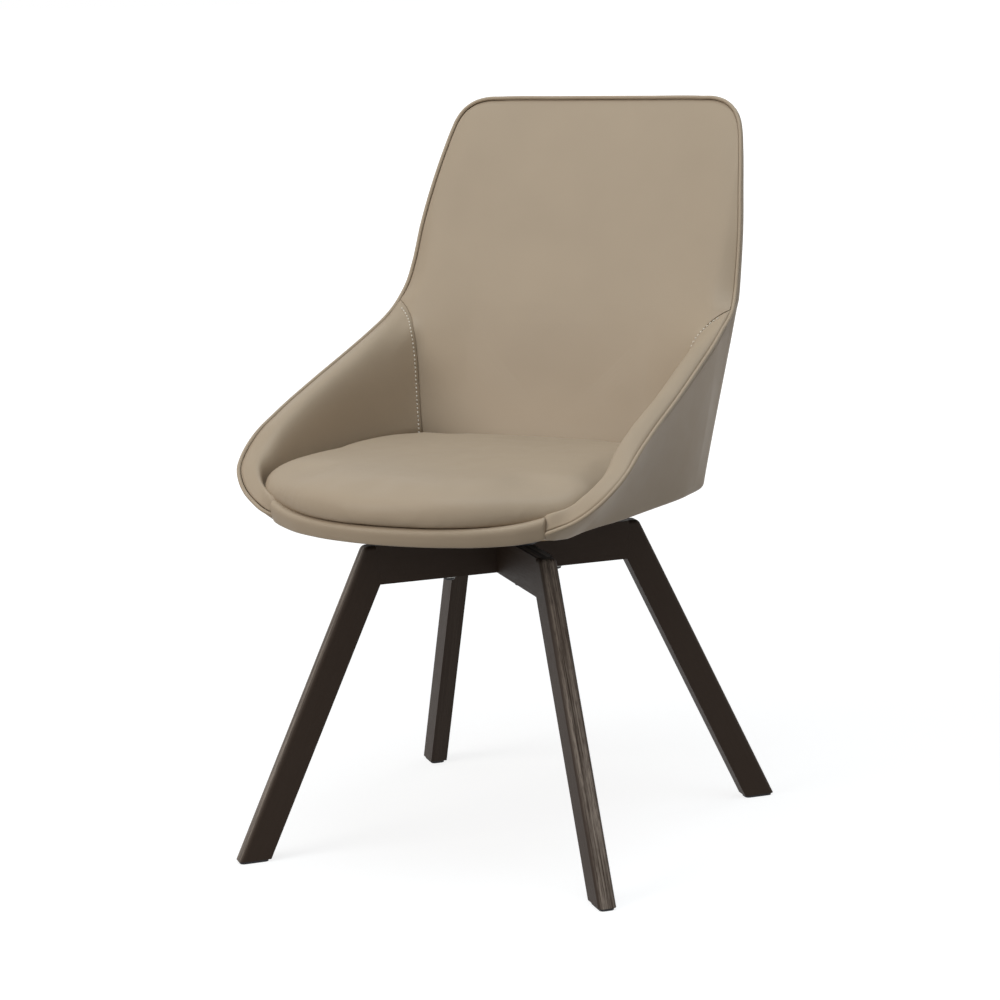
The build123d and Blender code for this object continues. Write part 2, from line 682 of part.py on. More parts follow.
def top_corner_trim(inset):
    """What lies outside the back's rounded upper corners, with its upper edge drawn down by an inset."""
    top = TUB_BOTTOM + BACK_HEIGHT - inset
    side = BACK_HALF_WIDTH + COVER_PROUD - inset
    lower = LEVELS[-3]
    foot = (lower.outer_x + COVER_PROUD, TUB_BOTTOM + lower.rise)
    far = 2 * ARM_HALF_WIDTH
    edge = FilletPolyline((0, top), (side, top), foot, radius=BACK_CORNER_ROUND - inset)
    outside = Polyline(foot, (far, foot[1]), (far, 2 * top), (0, 2 * top), (0, top))
    right = extrude(Plane.XZ * make_face(edge.edges() + outside.edges()), -2 * BACK_REACH)
    return right + mirrored(right)


def back_pad():
    depth = COVER + PLY + 2 * GAP
    pad = skin([Wire(pad_section(level, depth)) for level in LEVELS])
    return pad - top_corner_trim(RIM_CLEAR)


def shell_back():
    ply = skin([Wire(layer_section(level, COVER + GAP, PLY)) for level in LEVELS[:-1]])
    return ply - top_corner_trim(PLY_TOP_INSET)


def outer_cover_back():
    cover = skin([Wire(layer_section(level, 0, COVER)) for level in [HEM] + LEVELS])
    return cover - top_corner_trim(RIM_CLEAR)


def front_band():
    """The padded strip under the cushion's front, between the two arms."""
    def outline(front, rise):
        height = TUB_BOTTOM + rise
        inner_front = front + BAND_THICKNESS
        end = Vector(BAND_END_X, BAND_END_Y + front - BAND_FRONT, height)
        inner = band_inner_end(front, height)
        return [ThreePointArc(flipped(end), Vector(0, front, height), end), Line(end, inner),
                ThreePointArc(inner, Vector(0, inner_front, height), flipped(inner)),
                Line(flipped(inner), flipped(end))]
    return skin([Wire(outline(BAND_FRONT, 0)), Wire(outline(BAND_FRONT - BAND_LEAN, BAND_HEIGHT))])


# ---- Screws of the plywood shell ---------------------------------------------------------------------
def right_screw_lines():
    """Where the screws on the right half enter the plywood, and which way each one points."""
    middle = COVER + GAP + PLY / 2
    lines = []
    for number in SCREWED_STATIONS:
        station = STATIONS[number]
        depth = middle - COVER_PROUD
        start = station.place(station.along(station.share_at(BOARD, depth), depth))
        lines.append((start, station.place(station.along(1, depth)) - start))
    turn = back_points(LEVELS[0], middle)[2]
    lines.append((turn, back_points(LEVELS[1], middle)[2] - turn))
    return lines


def shell_screw(start, direction):
    """A sunk screw from under the seat board into the plywood's lower edge."""
    axis = Plane(origin=start, z_dir=direction)
    through = BOARD / (direction.Z / direction.length)
    shank = Pos(0, 0, (SHELL_SCREW_BITE - through) / 2) * Cylinder(SHELL_SCREW / 2, SHELL_SCREW_BITE + through)
    head = Pos(0, 0, SHELL_SCREW_HEAD_DEPTH - through) * Cylinder(SHELL_SCREW_HEAD / 2, SHELL_SCREW_HEAD_DEPTH)
    return axis * (shank + head)


def shell_screws():
    right = [shell_screw(start, direction) for start, direction in right_screw_lines()]
    low, high = (back_points(LEVELS[number], COVER + GAP + PLY / 2)[3] for number in (0, 1))
    return joined(right + [mirrored(screw) for screw in right] + [shell_screw(low, high - low)])


# ---- Piping ------------------------------------------------------------------------------------------
def rim_points():
    """The piping's centre from the band's right end, up the arm and the back, to the middle of the top."""
    kink = LEVELS[FIRST_ABOVE_KINK - 1]
    points = [station.place(station.rim) for station in STATIONS[:-1]]
    points.append(Vector(kink.outer_x - COVER_PROUD, KINK_Y, TUB_BOTTOM + KINK_HEIGHT))
    for level in LEVELS[FIRST_ABOVE_KINK:-2]:
        points.append(Vector(level.outer_x - COVER_PROUD, level.outer_y - RIM_CLEAR, TUB_BOTTOM + level.rise))
    points.append(Vector(BACK_HALF_WIDTH + COVER_PROUD, TOP_RIM_Y, TUB_BOTTOM + BACK_HEIGHT))
    return points


def piping(diameter):
    right = rim_points()
    left = [Vector(-point.X, point.Y, point.Z) for point in reversed(right)]
    radii = [30, 30, 30, 40, 50, 70, 120, 150, 150, 60, 90, 150, 150, 150, BACK_CORNER_ROUND * 0.9]
    path = FilletPolyline(*right, *left, radius=radii + radii[::-1])
    start = path.position_at(0)
    section = Plane(origin=start, z_dir=path.tangent_at(0)) * Circle(diameter / 2)
    return sweep(section, path=path)


# ---- Cushion and seat pad ----------------------------------------------------------------------------
def cushion_outline(inset, rise):
    """The cushion's outline at a height: bowed front, slightly bowed sides and a narrower, rounded rear."""
    half = ARM_HALF_WIDTH - CUSHION_SIDE_CLEARANCE
    centre = (CUSHION_FRONT + CUSHION_REAR) / 2
    shrink_x = (half - inset) / half
    shrink_y = (CUSHION_REAR - centre - inset) / (CUSHION_REAR - centre)

    def place(x, y):
        return Vector(x * shrink_x, centre + (y - centre) * shrink_y, TUB_BOTTOM + rise)

    def pair(x, y):
        return place(x, y), place(-x, y)

    front = place(0, CUSHION_FRONT)
    start, start_left = pair(0.67 * half, CUSHION_FRONT + 38)
    corner, corner_left = pair(0.92 * half, CUSHION_FRONT + 79)
    side, side_left = pair(half, CUSHION_FRONT + 122)
    flank, flank_left = pair(half + 2, CUSHION_FRONT + 231)
    rear_side, rear_side_left = pair(CUSHION_REAR_HALF_WIDTH, CUSHION_REAR - 22)
    bend, bend_left = pair(CUSHION_REAR_HALF_WIDTH - 8, CUSHION_REAR - 6)
    rear_turn, rear_turn_left = pair(CUSHION_REAR_HALF_WIDTH - 26, CUSHION_REAR - 1)
    rear = place(0, CUSHION_REAR)
    return Wire([
        ThreePointArc(start_left, front, start), ThreePointArc(start, corner, side),
        ThreePointArc(side, flank, rear_side), ThreePointArc(rear_side, bend, rear_turn),
        ThreePointArc(rear_turn, rear, rear_turn_left), ThreePointArc(rear_turn_left, bend_left, rear_side_left),
        ThreePointArc(rear_side_left, flank_left, side_left), ThreePointArc(side_left, corner_left, start_left)])


def seat_cushion():
    """A domed cushion: drawn in at its lower and upper edges, with a crown in the middle."""
    swell = CUSHION_CROWN - CUSHION_WAIST
    drop = CUSHION_WAIST - CUSHION_BOTTOM
    rings = [cushion_outline(CUSHION_UNDERCUT * (1 - math.cos(turn)), CUSHION_WAIST - drop * math.sin(turn))
             for turn in (math.pi / 2, math.pi / 4, 0)]
    for number in range(1, CROWN_RINGS + 1):
        share = number / CROWN_RINGS
        inset = CROWN_RUN * share ** 2.2
        rings.append(cushion_outline(inset, CUSHION_WAIST + swell * math.sin(share * math.pi / 2) ** 0.8))
    return skin(rings)


def seat_pad():
    low = cushion_outline(SEAT_PAD_INSET, BOARD)
    return extrude(Face(low), CUSHION_BOTTOM - BOARD - GAP, dir=(0, 0, 1))


def seat():
    channel = piping(PIPING_DIAMETER + 2 * GAP)
    screws = shell_screws()
    pad = arm_layer(STATIONS, arm_pad_section) - channel
    ply = arm_layer(STATIONS[3:], arm_ply_section) - screws
    cover = arm_layer(STATIONS, arm_cover_section) - channel
    return {
        "seat_board": seat_board() - screws,
        "dust_cover": dust_cover(),
        "dust_cover_staples": staples(),
        "shell_screws": screws,
        "arm_pad_right": pad,
        "arm_pad_left": mirrored(pad),
        "shell_arm_right": ply,
        "shell_arm_left": mirrored(ply),
        "outer_cover_right": cover,
        "outer_cover_left": mirrored(cover),
        "back_pad": back_pad() - channel,
        "shell_back": shell_back() - screws,
        "outer_cover_back": outer_cover_back() - channel,
        "front_band": front_band() - channel,
        "piping": piping(PIPING_DIAMETER),
        "seat_cushion": seat_cushion(),
        "seat_pad": seat_pad(),
    }


def main():
    os.makedirs("parts", exist_ok=True)
    for name, shape in {**wooden_base(), **swivel(), **seat()}.items():
        export_step(Pos(0, BOX_SHIFT, 0) * shape, os.path.join("parts", name + ".step"))


main()
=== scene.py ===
"""The looks of a swivel dining chair: leather, wood, metal and a studio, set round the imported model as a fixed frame.

The chair faces -Y. Chosen points are in millimetres from the swivel's axis and the floor, for the half of the chair at
+X; the other half mirrors them. place() turns them into the frame's metres.
"""
import json
import math

import bmesh
import bpy
import numpy as np
from mathutils import Matrix, Vector


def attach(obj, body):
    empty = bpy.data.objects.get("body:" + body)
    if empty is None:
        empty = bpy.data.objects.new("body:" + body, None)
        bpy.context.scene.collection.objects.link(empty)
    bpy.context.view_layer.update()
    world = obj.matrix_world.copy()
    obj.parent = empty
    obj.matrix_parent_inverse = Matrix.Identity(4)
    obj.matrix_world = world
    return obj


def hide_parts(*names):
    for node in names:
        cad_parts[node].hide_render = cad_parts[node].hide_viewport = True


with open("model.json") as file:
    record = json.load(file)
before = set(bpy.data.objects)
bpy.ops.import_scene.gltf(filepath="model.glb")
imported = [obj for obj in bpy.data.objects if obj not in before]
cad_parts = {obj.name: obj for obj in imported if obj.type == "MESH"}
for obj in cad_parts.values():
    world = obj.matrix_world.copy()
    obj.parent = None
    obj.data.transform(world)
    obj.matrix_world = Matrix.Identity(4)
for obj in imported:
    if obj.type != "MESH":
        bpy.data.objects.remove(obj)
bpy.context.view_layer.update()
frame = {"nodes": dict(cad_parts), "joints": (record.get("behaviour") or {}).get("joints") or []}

bl_info = {
    "name": "Swivel dining chair",
    "version": (1, 0, 0),
    "blender": (4, 5, 0),
    "location": "View3D > Sidebar > Chair",
    "description": "Dresses the chair's frame in leather, wood and metal, and sets up its studio",
    "category": "Object",
}

AXIS_Y = frame["joints"][0]["pos_m"][1]
MM = 0.001
SEAT = "seat"
WHITE = (1.0, 1.0, 1.0, 1.0)
FLOOR_REACH = 30.0

# ---- Chosen shapes, in millimetres -------------------------------------------------------------------
# One row for each section of an arm, from the band's end to the seam at the back: piping's centre, crease beside the
# cushion, foot of the outer cover, then the inner face's shape: the angle at which it leaves the piping and how far
# that holds, and the angle at which it comes down to the crease and how far that holds.
ARM_SECTIONS = [
    ((167.5, -228.8, 415), (163, -220, 434), (165.5, -221, 407.2), 75, 10, -20, 7),
    ((172.8, -230.4, 417), (168, -222, 435.5), (170.5, -219.5, 407), 72, 12, -25, 7),
    ((199, -222.5, 427), (187, -210, 440), (179, -211.5, 406.6), 42, 17, -40, 9),
    ((220, -212.5, 441), (200, -199, 442), (184.6, -200, 406.2), 32, 28, -72, 11),
    ((235.8, -195.4, 458.8), (210, -183, 441), (185, -181, 405.8), 16, 36, -86, 15),
    ((242.9, -169, 475.6), (210, -162, 445), (185.2, -160, 405.4), 2, 36, -88, 18),
    ((243.8, -142.6, 490.6), (208, -138, 448), (188.6, -135, 405.2), 8, 40, -88, 26),
    ((242.2, -98, 508), (205, -98, 451), (196.6, -98, 405.2), 12, 42, -86, 34),
    ((238.4, -15, 535), (201, -15, 455), (205.4, -15, 404.4), 12, 43, -86, 45),
    ((233, 57, 558), (191, 50, 454), (209.2, 48, 402.6), 10, 42, -86, 60),
    ((228.4, 119, 579), (180, 96, 451), (207.8, 84, 401.4), 6, 40, -84, 75),
    ((225.5, 151, 592), (175, 113, 450), (206.7, 100, 400.8), 0, 38, -82, 85),
    ((224.5, 180, 608), (170, 127, 449), (205.8, 112, 400.5), -10, 40, -80, 95),
]
# The piping's centre from the kink between arm and back to the middle of the top.
BACK_RIM = [
    (224.5, 180, 608), (221, 198.5, 628), (218.6, 211, 650.6), (214.7, 230, 697),
    (208, 250, 743), (200, 273, 788), (195, 284.5, 810), (190.5, 290.5, 823),
    (182.5, 296, 834.5), (170.5, 301, 842.8), (156, 305, 846.8), (135, 308, 847.5),
    (60, 311, 847.5), (0, 312, 847.5),
]
# The seam between an arm's inner face and the back, from under the cushion to the kink.
INNER_SEAM = [
    (168, 126, 430), (170, 127, 449), (177, 136, 500), (183, 144, 550),
    (189, 149.5, 576), (198.5, 161, 590.5), (211, 171, 602), (222, 178.6, 608),
]
# The back's inner face: height, middle, and how far its face comes forward at HOLLOW_X from the middle.
BACK_FACE = [
    (430, 131, 6.7), (449, 137, 13), (500, 155, 22.5), (550, 172, 29), (576, 181, 27), (590, 185, 22),
    (608, 190.5, 15), (628, 200, 12.5), (651, 212, 12), (697, 237, 13.5), (743, 259, 14.5), (788, 280, 13.5),
    (820, 297, 12), (850, 311, 10),
]
HOLLOW_X = 190.0
HOLLOW_POWER = 3.0
# The back's outer face: height, middle, and how square its plan is.
BACK_REAR = [
    (395, 187.5, 2.7), (405, 190, 2.7), (450, 203, 2.9), (500, 213, 3.2), (560, 229, 3.2), (608, 243, 3),
    (655, 258, 3), (700, 273, 3), (745, 290, 3), (788, 305, 3), (815, 314, 3), (834, 319.5, 3),
]
# The rows above it, over the top: height and middle; and how square they are.
TOP_ROLL = [(842, 321.5), (846.6, 320), (848.4, 317), (848.2, 314.9)]
TOP_SQUARE = 3.4
# Right half of the cushion's widest outline, from the middle of the front to the middle of the rear.
CUSHION_EDGE = [
    (0, -292.5), (62, -286), (115, -266), (150, -244), (174, -227), (194, -213), (206, -198), (211, -182),
    (210, -152), (208, -122), (205, -86), (201, -20), (193, 45), (182, 88), (168, 113), (140, 125), (70, 133),
    (0, 136),
]
# How far the cushion's top stands above its widest line, from front to rear.
CUSHION_RISE = [(-300, 25), (-200, 25.5), (-100, 25.5), (-30, 24), (30, 20.5), (80, 16), (140, 9.5)]
# The band's section: out from its middle line, and height.
BAND_SECTION = [
    (-12, 404.4), (-4, 403.2), (-0.8, 403.8), (0.8, 407.5), (2.2, 413), (3.1, 418), (3, 421.6),
    (1.6, 424.4), (-1.4, 425.8), (-6, 426), (-13, 425),
]
BAND_MIDDLE_Y = -284.0
BAND_END = (172.6, -229.8)
# Width of the rails and the legs across their grain, and how far the legs lean.
TIMBER = 21.0
LEG_LEAN = math.radians(25)
# Corners of the base, and which way each lies along X and Y.
CORNERS = {"front_right": (1, -1), "rear_right": (1, 1), "rear_left": (-1, 1), "front_left": (-1, -1)}
# The middle of the space above the seat, which every sheet faces or turns away from, and of the inner back.
SEAT_MIDDLE = (0.0, -60.0, 620.0)
BACK_MIDDLE = (0, 210, 640)


# ---- Small helpers -----------------------------------------------------------------------------------
def linear(hex_colour):
    """An sRGB hex value as a linear colour."""
    parts = [int(hex_colour[i:i + 2], 16) / 255 for i in (1, 3, 5)]
    return tuple(p / 12.92 if p <= 0.04045 else ((p + 0.055) / 1.055) ** 2.4 for p in parts)


def place(points):
    return np.asarray(points, float) * MM + (0.0, AXIS_Y, 0.0)


def blend_keys(knots, values, at):
    """Values between knots, on a smooth line through them."""
    knots = np.asarray(knots, float)
    values = np.asarray(values, float)
    slopes = np.gradient(values, knots, axis=0)
    cell = np.clip(np.searchsorted(knots, at, side="right") - 1, 0, len(knots) - 2)
    gap = knots[cell + 1] - knots[cell]
    t = (at - knots[cell]) / gap
    if values.ndim > 1:
        t = t[:, None]
        gap = gap[:, None]
    start, end = values[cell], values[cell + 1]
    square, cube = t * t, t * t * t
    return (start * (2 * cube - 3 * square + 1) + end * (3 * square - 2 * cube)
            + gap * (slopes[cell] * (cube - 2 * square + t) + slopes[cell + 1] * (cube - square)))


def from_table(table, at):
    """A table's other columns, at some values of its first."""
    table = np.asarray(table, float)
    return blend_keys(table[:, 0], table[:, 1:], at)


def lengths(points):
    """The length of the line up to each of its points."""
    steps = np.linalg.norm(np.diff(points, axis=0), axis=1)
    return np.concatenate([[0.0], np.cumsum(steps)])


def along_line(places, along, values):
    """The points of a line, or other values on it, at some lengths along it."""
    return np.stack([np.interp(places, along, values[:, axis]) for axis in range(values.shape[1])], axis=1)


def smooth_line(keys, count):
    """A smooth line through chosen points, as evenly spaced points."""
    keys = np.asarray(keys, float)
    knots = lengths(keys)
    fine = blend_keys(knots, keys, np.linspace(0, knots[-1], 12 * count))
    along = lengths(fine)
    return along_line(np.linspace(0, along[-1], count), along, fine)


def mirrored(points):
    return points * np.array([-1.0, 1.0, 1.0])


def both_halves(right):
    """A line from the right to the middle, followed by its mirror image."""
    return np.concatenate([right, mirrored(right[-2::-1])])


def unit(vectors):
    return vectors / np.linalg.norm(vectors, axis=-1, keepdims=True)


def turned_in(normals, points):
    """Normals, each turned to the side of the space above the seat."""
    facing = np.sum(normals * (np.array(SEAT_MIDDLE) - points), axis=-1, keepdims=True)
    return np.where(facing < 0, -normals, normals)


def bezier(p0, p1, p2, p3, count):
    t = np.linspace(0, 1, count)[:, None]
    return (1 - t) ** 3 * p0 + 3 * (1 - t) ** 2 * t * p1 + 3 * (1 - t) * t * t * p2 + t ** 3 * p3


def grid_faces(rows, columns, start=0, closed=False):
    faces = []
    for row in range(rows - 1):
        for column in range(columns if closed else columns - 1):
            beside = (column + 1) % columns
            corner = start + row * columns
            faces.append((corner + column, corner + beside, corner + columns + beside, corner + columns + column))
    return faces


def capped_faces(rows, columns, start=0):
    """The faces of a closed form made of rings, with its two ends."""
    last = start + (rows - 1) * columns
    ends = [tuple(range(start, start + columns)), tuple(range(last, last + columns))]
    return grid_faces(rows, columns, start, closed=True) + ends


def put_in_scene(name, data):
    thing = bpy.data.objects.new(name, data)
    bpy.context.scene.collection.objects.link(thing)
    return thing


def make_object(name, points, faces, material):
    """A smooth mesh in the frame, from points in millimetres."""
    mesh = bpy.data.meshes.new(name)
    mesh.from_pydata([tuple(point) for point in place(points)], [], faces)
    work = bmesh.new()
    work.from_mesh(mesh)
    bmesh.ops.remove_doubles(work, verts=work.verts, dist=0.02 * MM)
    bmesh.ops.recalc_face_normals(work, faces=work.faces)
    work.to_mesh(mesh)
    work.free()
    mesh.polygons.foreach_set("use_smooth", [True] * len(mesh.polygons))
    mesh.materials.append(material)
    return put_in_scene(name, mesh)


def leather_sheet(context, name, points, faces, away=False, open_middle=False):
    """An open sheet with the hide's thickness, whose outer side faces the space above the seat, or away from it."""
    piece = make_object(name, points.reshape(-1, 3), faces, leather_for(context.scene))
    if open_middle:
        fill_middle(piece)
    target = Vector(place(SEAT_MIDDLE))
    middle = sum(((target - face.center).dot(face.normal) * face.area for face in piece.data.polygons), 0.0)
    if (middle < 0) != away:
        piece.data.flip_normals()
    solid = piece.modifiers.new("hide", "SOLIDIFY")
    solid.thickness = context.scene.chair_upholstery.hide
    solid.offset = -1.0
    return piece


def ring_round(point, radius, side, other, sides):
    """A circle's points round a place, from two directions across it."""
    turns = np.linspace(0, 2 * math.pi, sides, endpoint=False)[:, None]
    return point + radius * (np.cos(turns) * side + np.sin(turns) * other)


def tube(name, line, radius, material, sides=14):
    """A closed round tube along a line of points in millimetres."""
    tangents = unit(np.gradient(line, axis=0))
    side = np.cross(tangents[0], UP)
    rings = []
    for point, tangent in zip(line, tangents):
        side = unit(side - tangent * np.dot(side, tangent))
        rings.append(ring_round(point, radius, side, np.cross(tangent, side), sides))
    return make_object(name, np.concatenate(rings), capped_faces(len(rings), sides), material)


def dress(piece, slot_name, *nodes):
    """The piece rides on the seat and hides the CAD nodes it stands for. Its slot_name is not used."""
    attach(piece, SEAT)
    if nodes:
        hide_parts(*nodes)


# ---- Sizes and colours that a user would change ------------------------------------------------------
def number(name, description, default, **settings):
    return bpy.props.FloatProperty(name=name, description=description, default=default, **settings)


def metres(name, description, default):
    return number(name, description, default, unit="LENGTH", precision=4)


def colour(name, description, hex_colour):
    return bpy.props.FloatVectorProperty(name=name, description=description, default=linear(hex_colour),
                                         subtype="COLOR", min=0.0, max=1.0)


class CHAIR_PG_upholstery(bpy.types.PropertyGroup):
    """Sizes of the leather work."""
    hide: metres("Hide thickness", "Thickness of the coated leather", 0.0014)
    piping: metres("Piping diameter", "Outer diameter of the covered cord along the rim", 0.0046)
    tuck: metres("Tuck", "How deep a cover's edge goes in beside the piping", 0.005)
    edge_roll: metres("Edge roll", "Width over which the back's padding rolls down to the piping", 0.040)
    seam_roll: metres("Seam roll", "Width over which the padding dips to a plain seam", 0.011)
    seam_dip: metres("Seam dip", "Depth of a plain seam below the padding", 0.0008)
    side_bulge: metres("Side bulge", "How far the outer side covers stand out between rim and foot", 0.003)
    stitch: metres("Stitch length", "Length of one topstitch", 0.0034)
    stitch_pitch: metres("Stitch pitch", "Distance from one topstitch to the next", 0.0050)
    stitch_inset: metres("Stitch inset", "Distance from the seam to its topstitching", 0.0060)
    thread: metres("Thread diameter", "Diameter of the topstitching thread", 0.0017)


class CHAIR_PG_cushion(bpy.types.PropertyGroup):
    """Sizes of the seat cushion."""
    waist: metres("Waist height", "Height of the cushion's widest line above the floor", 0.443)
    shoulder: metres("Shoulder", "Distance from the edge over which the top rises", 0.062)
    front_shoulder: metres("Front shoulder", "How much wider the shoulder is at the front", 0.045)
    fullness: number("Fullness", "How square the shoulder is", 2.6)
    depth: metres("Depth", "Height of the widest line above the cushion's underside", 0.0195)
    undercut: metres("Undercut", "How far the lower edge is drawn in", 0.005)
    slack: metres("Slack", "How much smaller the cover starts before the air swells it", 0.0015)
    voxel: metres("Cell", "Cell size of the cushion's mesh before it is inflated", 0.0055)
    cap: metres("Cap", "The most that a point may move as the cushion swells", 0.003)
    pressure: number("Pressure", "Air pressure that swells the cover", 4.0)


class CHAIR_PG_colours(bpy.types.PropertyGroup):
    """Colours of the finishes."""
    leather: colour("Leather", "Taupe coated leather", "#A3917B")
    thread: colour("Thread", "Topstitching thread", "#DAD0BE")
    wood_dark: colour("Dark grain", "Stained wood between the open pores", "#34281F")
    # The pale grain colour also carries the painted highlight down the middle of the outward-looking face of each leg
    # and rail.
    wood_grain_and_highlight: colour("Light grain", "Stained wood where the brushed grain shows", "#96887B")
    plywood: colour("Plywood", "Bare birch plywood", "#B9976A")
    black: colour("Black", "Powder coat, dust cover and glides", "#17171A")
    steel: colour("Steel", "Zinc plated steel", "#9A9A96")
    nylon: colour("Nylon", "The bearing's cage", "#C8C5BA")
    floor: colour("Floor", "Pale studio floor", "#F4F3F1")


class CHAIR_PG_studio(bpy.types.PropertyGroup):
    """Light and camera."""
    key: number("Key", "Power of the large lamp in front", 64.0, unit="POWER")
    top: number("Top", "Power of the lamp overhead", 62.0, unit="POWER")
    sky: colour("Sky", "Colour of the lamp overhead", "#E4F3FF")
    fill: number("Fill", "Power of the lamp at the other side", 10.0, unit="POWER")
    rim: number("Rim", "Power of the lamp behind", 9.0, unit="POWER")
    ambient: number("Ambient", "Light of the surrounding room", 0.24)
    lens: number("Lens", "Focal length", 107.76, unit="CAMERA")
    azimuth: number("Azimuth", "Camera's turn to the chair's +X side", math.radians(27.26), unit="ROTATION")
    elevation: number("Elevation", "Camera's height angle", math.radians(11.14), unit="ROTATION")
    roll: number("Roll", "Camera's tilt", math.radians(-2.03), unit="ROTATION")
    distance: metres("Distance", "Camera's distance from its target", 3.5914)
    target: bpy.props.FloatVectorProperty(name="Target", description="What the camera looks at", subtype="XYZ",
                                          unit="LENGTH", default=(-0.035, 0.0518, 0.3851))


# ---- Materials ---------------------------------------------------------------------------------------
def add(tree, kind, inputs=None, **settings):
    """A node with its settings; an input is a plain value or another node's output."""
    node = tree.nodes.new("ShaderNode" + kind)
    for name, value in settings.items():
        setattr(node, name, value)
    for name, value in (inputs or {}).items():
        socket = node.inputs[name]
        if isinstance(value, bpy.types.NodeSocket):
            tree.links.new(value, socket)
        else:
            socket.default_value = value
    return node


def new_material(name):
    """An empty material, its nodes and its texture coordinates."""
    material = bpy.data.materials.new(name)
    material.use_nodes = True
    material.node_tree.nodes.clear()
    return material, material.node_tree, add(material.node_tree, "TexCoord").outputs


def maths(tree, operation, *values):
    return add(tree, "Math", dict(enumerate(values)), operation=operation).outputs["Value"]


def vector_maths(tree, operation, *values, output="Vector"):
    return add(tree, "VectorMath", dict(enumerate(values)), operation=operation).outputs[output]


def ranged(tree, value, low, high, start=0.0, end=1.0, **settings):
    """A value whose range from low to high is stretched to the one from start to end."""
    return add(tree, "MapRange", {"Value": value, "From Min": low, "From Max": high, "To Min": start, "To Max": end},
               **settings).outputs["Result"]


def mixed(tree, factor, first, second):
    """Two colours mixed. A Mix node's sockets of other kinds share the colour's name."""
    mix = add(tree, "Mix", {"Factor": factor, "A": first, "B": second}, data_type="RGBA")
    return next(socket for socket in mix.outputs if socket.type == "RGBA")


def noise(tree, where, scale, detail, roughness=0.5):
    return add(tree, "TexNoise", {"Vector": where, "Scale": scale, "Detail": detail,
                                  "Roughness": roughness}).outputs["Fac"]


def bump(tree, height, strength, depth, normal=None):
    """A relief with a depth in millimetres, if given on top of another one."""
    below = {} if normal is None else {"Normal": normal}
    return add(tree, "Bump", {"Height": height, "Strength": strength, "Distance": depth * MM,
                              **below}).outputs["Normal"]


def soft_edges(tree, radius, samples):
    return add(tree, "Bevel", {"Radius": radius * MM}, samples=samples).outputs["Normal"]


def surface(tree, inputs):
    """Ends a material's nodes in a shader with these inputs."""
    shader = add(tree, "BsdfPrincipled", inputs)
    add(tree, "OutputMaterial", {"Surface": shader.outputs["BSDF"]})


def per_mm(size):
    """The texture scale at which one cell of a pattern is a size in millimetres."""
    return 1.0 / (size * MM)


def four(colour_value, factor=1.0):
    return tuple(min(1.0, channel * factor) for channel in colour_value) + (1.0,)


def coated_leather(colours):
    """Split leather with an embossed polyurethane coat: even colour, a fine pebble and a soft satin light."""
    material, tree, coordinates = new_material("coated_leather_embossed")
    where = coordinates["Object"]
    # The pebble is about 0.6 mm on the hide, and is drawn at 1.3 mm so that it still shows from a few steps away.
    pebble = add(tree, "TexVoronoi", {"Vector": where, "Scale": per_mm(1.3), "Randomness": 0.9},
                 feature="SMOOTH_F1").outputs["Distance"]
    creases = noise(tree, where, per_mm(26), 3.0, 0.55)
    tone = ranged(tree, noise(tree, where, per_mm(90), 2.0), 0.3, 0.7)
    surface(tree, {"Base Color": mixed(tree, tone, four(colours.leather, 0.98), four(colours.leather, 1.02)),
                   "Roughness": ranged(tree, creases, 0.0, 1.0, 0.40, 0.52), "Specular IOR Level": 0.14,
                   "Normal": bump(tree, creases, 0.12, 1.0, bump(tree, pebble, 0.16, 0.25))})
    return material


def twisted_thread(colours):
    """Bonded polyester thread: pale, a little shiny, with the twist of its strands."""
    material, tree, coordinates = new_material("polyester_thread_twisted")
    twist = add(tree, "TexWave", {"Vector": coordinates["Object"], "Scale": per_mm(8), "Distortion": 1.5})
    surface(tree, {"Base Color": mixed(tree, twist.outputs["Fac"], four(colours.thread, 0.88), four(colours.thread)),
                   "Roughness": 0.55})
    return material


def stained_wood(colours, name, along, outward):
    """Beech, brushed and stained nearly black under a thin satin lacquer: long streaks with fine open pores.

    The grain runs along one direction. Its pale streaks are real grain, but they are painted brightest in the middle of
    the narrow face that looks outwards and nearly hidden elsewhere: a painted highlight along that face.
    """
    material, tree, coordinates = new_material("stained_wood_" + name)
    along = Vector(along).normalized()
    across = Vector(outward).cross(along).normalized()
    outward = along.cross(across).normalized()
    turn = Matrix((across, outward, along)).transposed().to_euler()
    local = add(tree, "Mapping", {"Vector": coordinates["Object"], "Rotation": turn,
                                  "Location": (0.0, AXIS_Y, 0.0)}, vector_type="TEXTURE").outputs["Vector"]

    def streaks(width, length, detail):
        scaled = vector_maths(tree, "MULTIPLY", local, (per_mm(width), per_mm(width), per_mm(length)))
        return noise(tree, scaled, 1.0, detail, 0.6)

    # Brushed streaks are 3.6 mm wide and a hand long; pores are 0.9 mm wide, which is as fine as still shows.
    broad = streaks(3.6, 190, 3.0)
    pores = streaks(0.9, 14, 2.0)
    # The masks below keep the pale grain to the middle of the outward-looking face: real grain shaped into a painted
    # highlight.
    aside = maths(tree, "ABSOLUTE", add(tree, "SeparateXYZ", {"Vector": local}).outputs["X"])
    middle = ranged(tree, aside, 0.5 * TIMBER * MM, 0.22 * TIMBER * MM, 0.12, interpolation_type="SMOOTHSTEP")
    facing = vector_maths(tree, "DOT_PRODUCT", coordinates["Normal"], outward, output="Value")
    grain_and_highlight = ranged(tree, broad, 0.34, 0.60)
    for factor in (middle, ranged(tree, pores, 0.34, 0.54, 0.3), ranged(tree, facing, 0.45, 0.9, 0.07)):
        grain_and_highlight = maths(tree, "MULTIPLY", grain_and_highlight, factor)
    surface(tree, {"Base Color": mixed(tree, grain_and_highlight, four(colours.wood_dark), four(colours.wood_grain_and_highlight)),
                   "Roughness": ranged(tree, pores, 0.0, 1.0, 0.42, 0.66), "Specular IOR Level": 0.17,
                   "Normal": bump(tree, pores, 0.35, 0.3, soft_edges(tree, 0.8, 6))})
    return material


